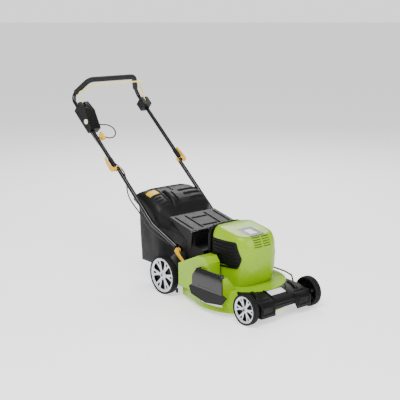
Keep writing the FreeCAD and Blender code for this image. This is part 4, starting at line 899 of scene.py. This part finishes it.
# Steps on the left, finger ridges on the right, a frame round the indicator, a rib across the
# back and a short one in the middle.
for back, start, end in ((722, 40, 150), (756, 30, 156), (792, 20, 160)):
    laid(form, lid_top, [(start, back, 0), (end, back + 6, 0)], 15, 7)
for back in (722, 742, 762):
    laid(form, lid_top, [(-160, back, 0), (-112, back, 0)], 9, 5)
for path in ([(-168, 786, 0), (-90, 786, 0)], [(-168, 838, 0), (-90, 838, 0)],
             [(-168, 786, 0), (-168, 838, 0)], [(-90, 786, 0), (-90, 838, 0)]):
    laid(form, lid_top, path, 9, 5, ends=30)
laid(form, lid_top, [(-130, 872, 0), (140, 872, 0)], 16, 5)
laid(form, lid_top, [(0, 800, 0), (0, 860, 0)], 9, 4)
piece("catcher_lid_ribs", form, body_of_node["catcher_lid"], grey_plastic)
form = bmesh.new()
laid(form, lid_top, [(-129, 790, 0), (-129, 834, 0)], 68, 5, crown=14, ends=40, sunk=6)
piece("fill_indicator_skin", form, body_of_node["fill_indicator"], yellow_plastic,
      ["fill_indicator"])
print("lid rows", len(LID_ROWS))

# %% [markdown]
# ## The catcher's bag
#
# The bag is woven polyester sewn into a box that hangs from the lid and keeps its foot on a wire.
# Its outline is given a height and cut into slices, so that it can bend. The rim and the foot are
# held, and between them the cloth sinks in, in broad folds with finer creases. Both are drawn by
# noise and not by a cloth simulation.

# %% The catcher's bag
BAG_FOOT = 112
BAG_HALF = 174
FOOT_LEAN = 19
# The rim's line: distance back and height.
BAG_RIM = [(515, 280), (668, 308), (905, 431)]
form = bmesh.new()
plate(form, [(-127, 518), (127, 518), (127, 668), (171, 706), (171, 902), (-171, 902),
             (-171, 706), (-127, 668)], 0, 1, "z")
upright = [edge for edge in form.edges if abs(edge.verts[0].co.z - edge.verts[1].co.z) > 0.5]
bmesh.ops.bevel(form, geom=upright, offset=26, offset_type="OFFSET", segments=5, profile=0.5,
                affect="EDGES", material=-1, clamp_overlap=True)
bmesh.ops.delete(form, geom=[face for face in form.faces if face.calc_center_median().z > 0.9],
                 context="FACES_ONLY")
sliced(form, "x", range(-160, 170, 16))
sliced(form, "y", range(530, 900, 16))
sliced(form, "z", [step / 18 for step in range(1, 18)])
belly_of = {}
for corner in form.verts:
    share = corner.co.z
    belly_of[corner] = math.sin(math.pi * share)
    lean = max(0, (corner.co.y - 700) / 205)
    corner.co.z = BAG_FOOT + (between(BAG_RIM, corner.co.y) - BAG_FOOT) * share
    corner.co.y -= FOOT_LEAN * (1 - share) * lean
    corner.co.x *= 1 - 0.03 * (1 - share)
flat_area = sum(face.calc_area() for face in form.faces) / 1e6
bmesh.ops.recalc_face_normals(form, faces=form.faces)
form.normal_update()
deepest = 0
for corner, belly in belly_of.items():
    spot = corner.co.copy()
    fold = noise.noise(Vector((spot.x / 70, spot.y / 70, spot.z / 150)))
    crease = noise.noise(Vector((spot.x / 26 + 7, spot.y / 26, spot.z / 60)))
    droop = belly * belly * (1 - 0.4 * (spot.z - BAG_FOOT) / 320)
    corner.co += corner.normal * (droop * (-5 + 14 * fold) + belly * 3.5 * crease)
    corner.co.x = max(-BAG_HALF, min(BAG_HALF, corner.co.x))
    deepest = max(deepest, (corner.co - spot).length)
bmesh.ops.transform(form, matrix=MOWER, verts=form.verts)
for face in form.faces:
    face.smooth = True
mesh = bpy.data.meshes.new("catcher_bag_cloth")
form.to_mesh(mesh)
form.free()
mesh.materials.append(bag_fabric)
bag = smooth_object("catcher_bag_cloth", mesh)
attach(bag, body_of_node["catcher_bag"])
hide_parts("catcher_bag")
print("bag cloth", round(flat_area, 3), "square metres, folds up to", round(deepest, 1), "mm")

# %% [markdown]
# ## Cam levers, sleeves and reliefs
#
# The folding handle is held by four yellow cam levers. Each is a curved nylon lever with a round
# cam at its root. Black sleeves cover the tube ends above the middle clamps, and a tapered rubber
# relief keeps each lead from kinking where it leaves the switch box.

# %% Cam levers, sleeves and reliefs
# The lever's outline: out from its inner side, and along the tube from the cam's centre.
LEVER = [(0, 0), (0.8, -4.2), (3.2, -7.8), (6.8, -10.2), (11, -11), (15.2, -10.2), (18.8, -7.8),
         (21.2, -4.2), (22, 0), (22, 14), (20.5, 50), (16, 76), (11, 88), (7, 89), (6, 85), (9, 72),
         (11.5, 48), (12, 26), (7, 12), (3.2, 7.8), (0.8, 4.2)]


def cam_lever(name, inner, hand, along, place):
    """A lever whose inner side is so far from the mower's middle, and whose end is thinner."""
    form = bmesh.new()
    outline = [(hand * (inner + out), along * reach) for out, reach in LEVER]
    plate(form, outline, -9, 18, "z")
    for corner in form.verts:
        corner.co.z *= 1 - 0.3 * max(0, abs(corner.co.y) - 20) / 70
    soften(form, 2, 2, 40)
    piece(f"{name}_curved", form, body_of_node[name], yellow_plastic, [name],
          place)


for side, hand in (("right", -1), ("left", 1)):
    cam_lever(f"mid_lever_{side}", 236, hand, 1, HANDLE)
    cam_lever(f"low_lever_{side}", 160, hand, -1, LOW_CLAMP)
    form = bmesh.new()
    turned(form, [(-27, 11.3), (-27, 12.4), (-24, 13.2), (24, 13.2), (27, 12.4), (27, 11.3)],
           (hand * 222.5, 47, 0), "y", 32)
    piece(f"tube_sleeve_{side}", form, "upper_handle", black_plastic,
          (), HANDLE)


def relief(name, start, end, low, high):
    """A ribbed taper round a lead, from a wide collar to the lead's own size."""
    start, end = Vector(start), Vector(end)
    length = (end - start).length
    profile = [(0, 3.2), (0, low)]
    for step in range(1, 8):
        share = step / 8
        radius = low + (high - low) * share
        profile += [(length * (share - 0.03), radius), (length * share, radius - 0.7),
                    (length * (share + 0.03), radius)]
    profile += [(length, high), (length, 3.2)]
    form = bmesh.new()
    turned(form, profile, (0, 0, 0), "z", 24)
    turn = (end - start).to_track_quat("Z", "Y").to_matrix().to_4x4()
    piece(name, form, "upper_handle", cable_rubber, (),
          HANDLE @ Matrix.Translation(start) @ turn)


relief("lead_relief", (-186, 314.6, 9.7), (-162, 310, 12), 7, 4)
relief("cable_relief", (-222.4, 290, -17), (-225, 256, -16), 7, 4)

# %% [markdown]
# ## Parts that only need a finish
#
# Pins, bolts, tubes and the hidden motor already have their true shape, so they keep their mesh
# and get a finish in their material slots.

# %% Finishes for the frame's own parts
dressed = []


def dress(material, *names):
    """Gives frame parts a finish and leaves their shape alone."""
    dressed.extend(names)
    for name in names:
        mesh = frame["nodes"][name].data
        mesh.materials.clear()
        mesh.materials.append(material)


dress(black_tube, "upper_tube", "lower_tubes")
dress(yellow_enamel, "bail")
dress(zinc_steel, "motor_mount", "motor_bearings", "motor_shaft", "blade_adapter", "blade_bolt",
      "rear_flap_rod")
dress(motor_steel, "motor_housing", "motor_rotor")
dress(blade_steel, "blade")
dress(black_plastic, "cooling_fan", "axle_bushes", "microswitch")
dress(grey_plastic, "run_capacitor")
dress(bracket_enamel, "front_axle", "rear_axle", "link_rod", "height_lever", "height_quadrant",
      "handle_brackets", "catcher_frame", "side_flap_pin")
print("frame parts with a finish", len(dressed))

# %% [markdown]
# ## Parts with rounded edges
#
# The deck stands for a steel pressing and the smaller parts for mouldings, so none has a sharp
# edge. Each frame part is copied, its triangles are joined and its edges are rounded by a few
# millimetres. The switch box is also made narrower on its inner side and gets a seam and ribs.

# %% Parts with rounded edges
softened("deck_shell", 4, lime_enamel)
softened("chute_frame", 3, black_plastic)
grip_skin = softened("grip", 2.5, foam_rubber, 3, 60)
form = copied("switch_box")
to_handle = HANDLE.inverted() @ MOWER
bmesh.ops.transform(form, matrix=to_handle, verts=form.verts)
for corner in form.verts:
    if corner.co.x > -204:
        corner.co.x = -204 + (corner.co.x + 204) * 0.74
soften(form, 4, 3)
shell = surface_of(form)
laid(form, shell, [(0, 300, -4), (0, 440, -4)], 5, 1.6, (1, 0, 0))
for along in (392, 404, 416, 428):
    laid(form, shell, [(-234, along, 0), (-190, along, 0)], 5, 2)
piece("switch_box_skin", form, body_of_node["switch_box"], black_plastic,
      ["switch_box"], HANDLE)
softened("switch_button", 2, cream_plastic)
softened("bail_pivot", 5, black_plastic)
softened("cord_plug", 2, yellow_plastic)
softened("mid_clamp_bolts", 1.2, yellow_plastic)
softened("low_clamp_bolts", 1.2, yellow_plastic)
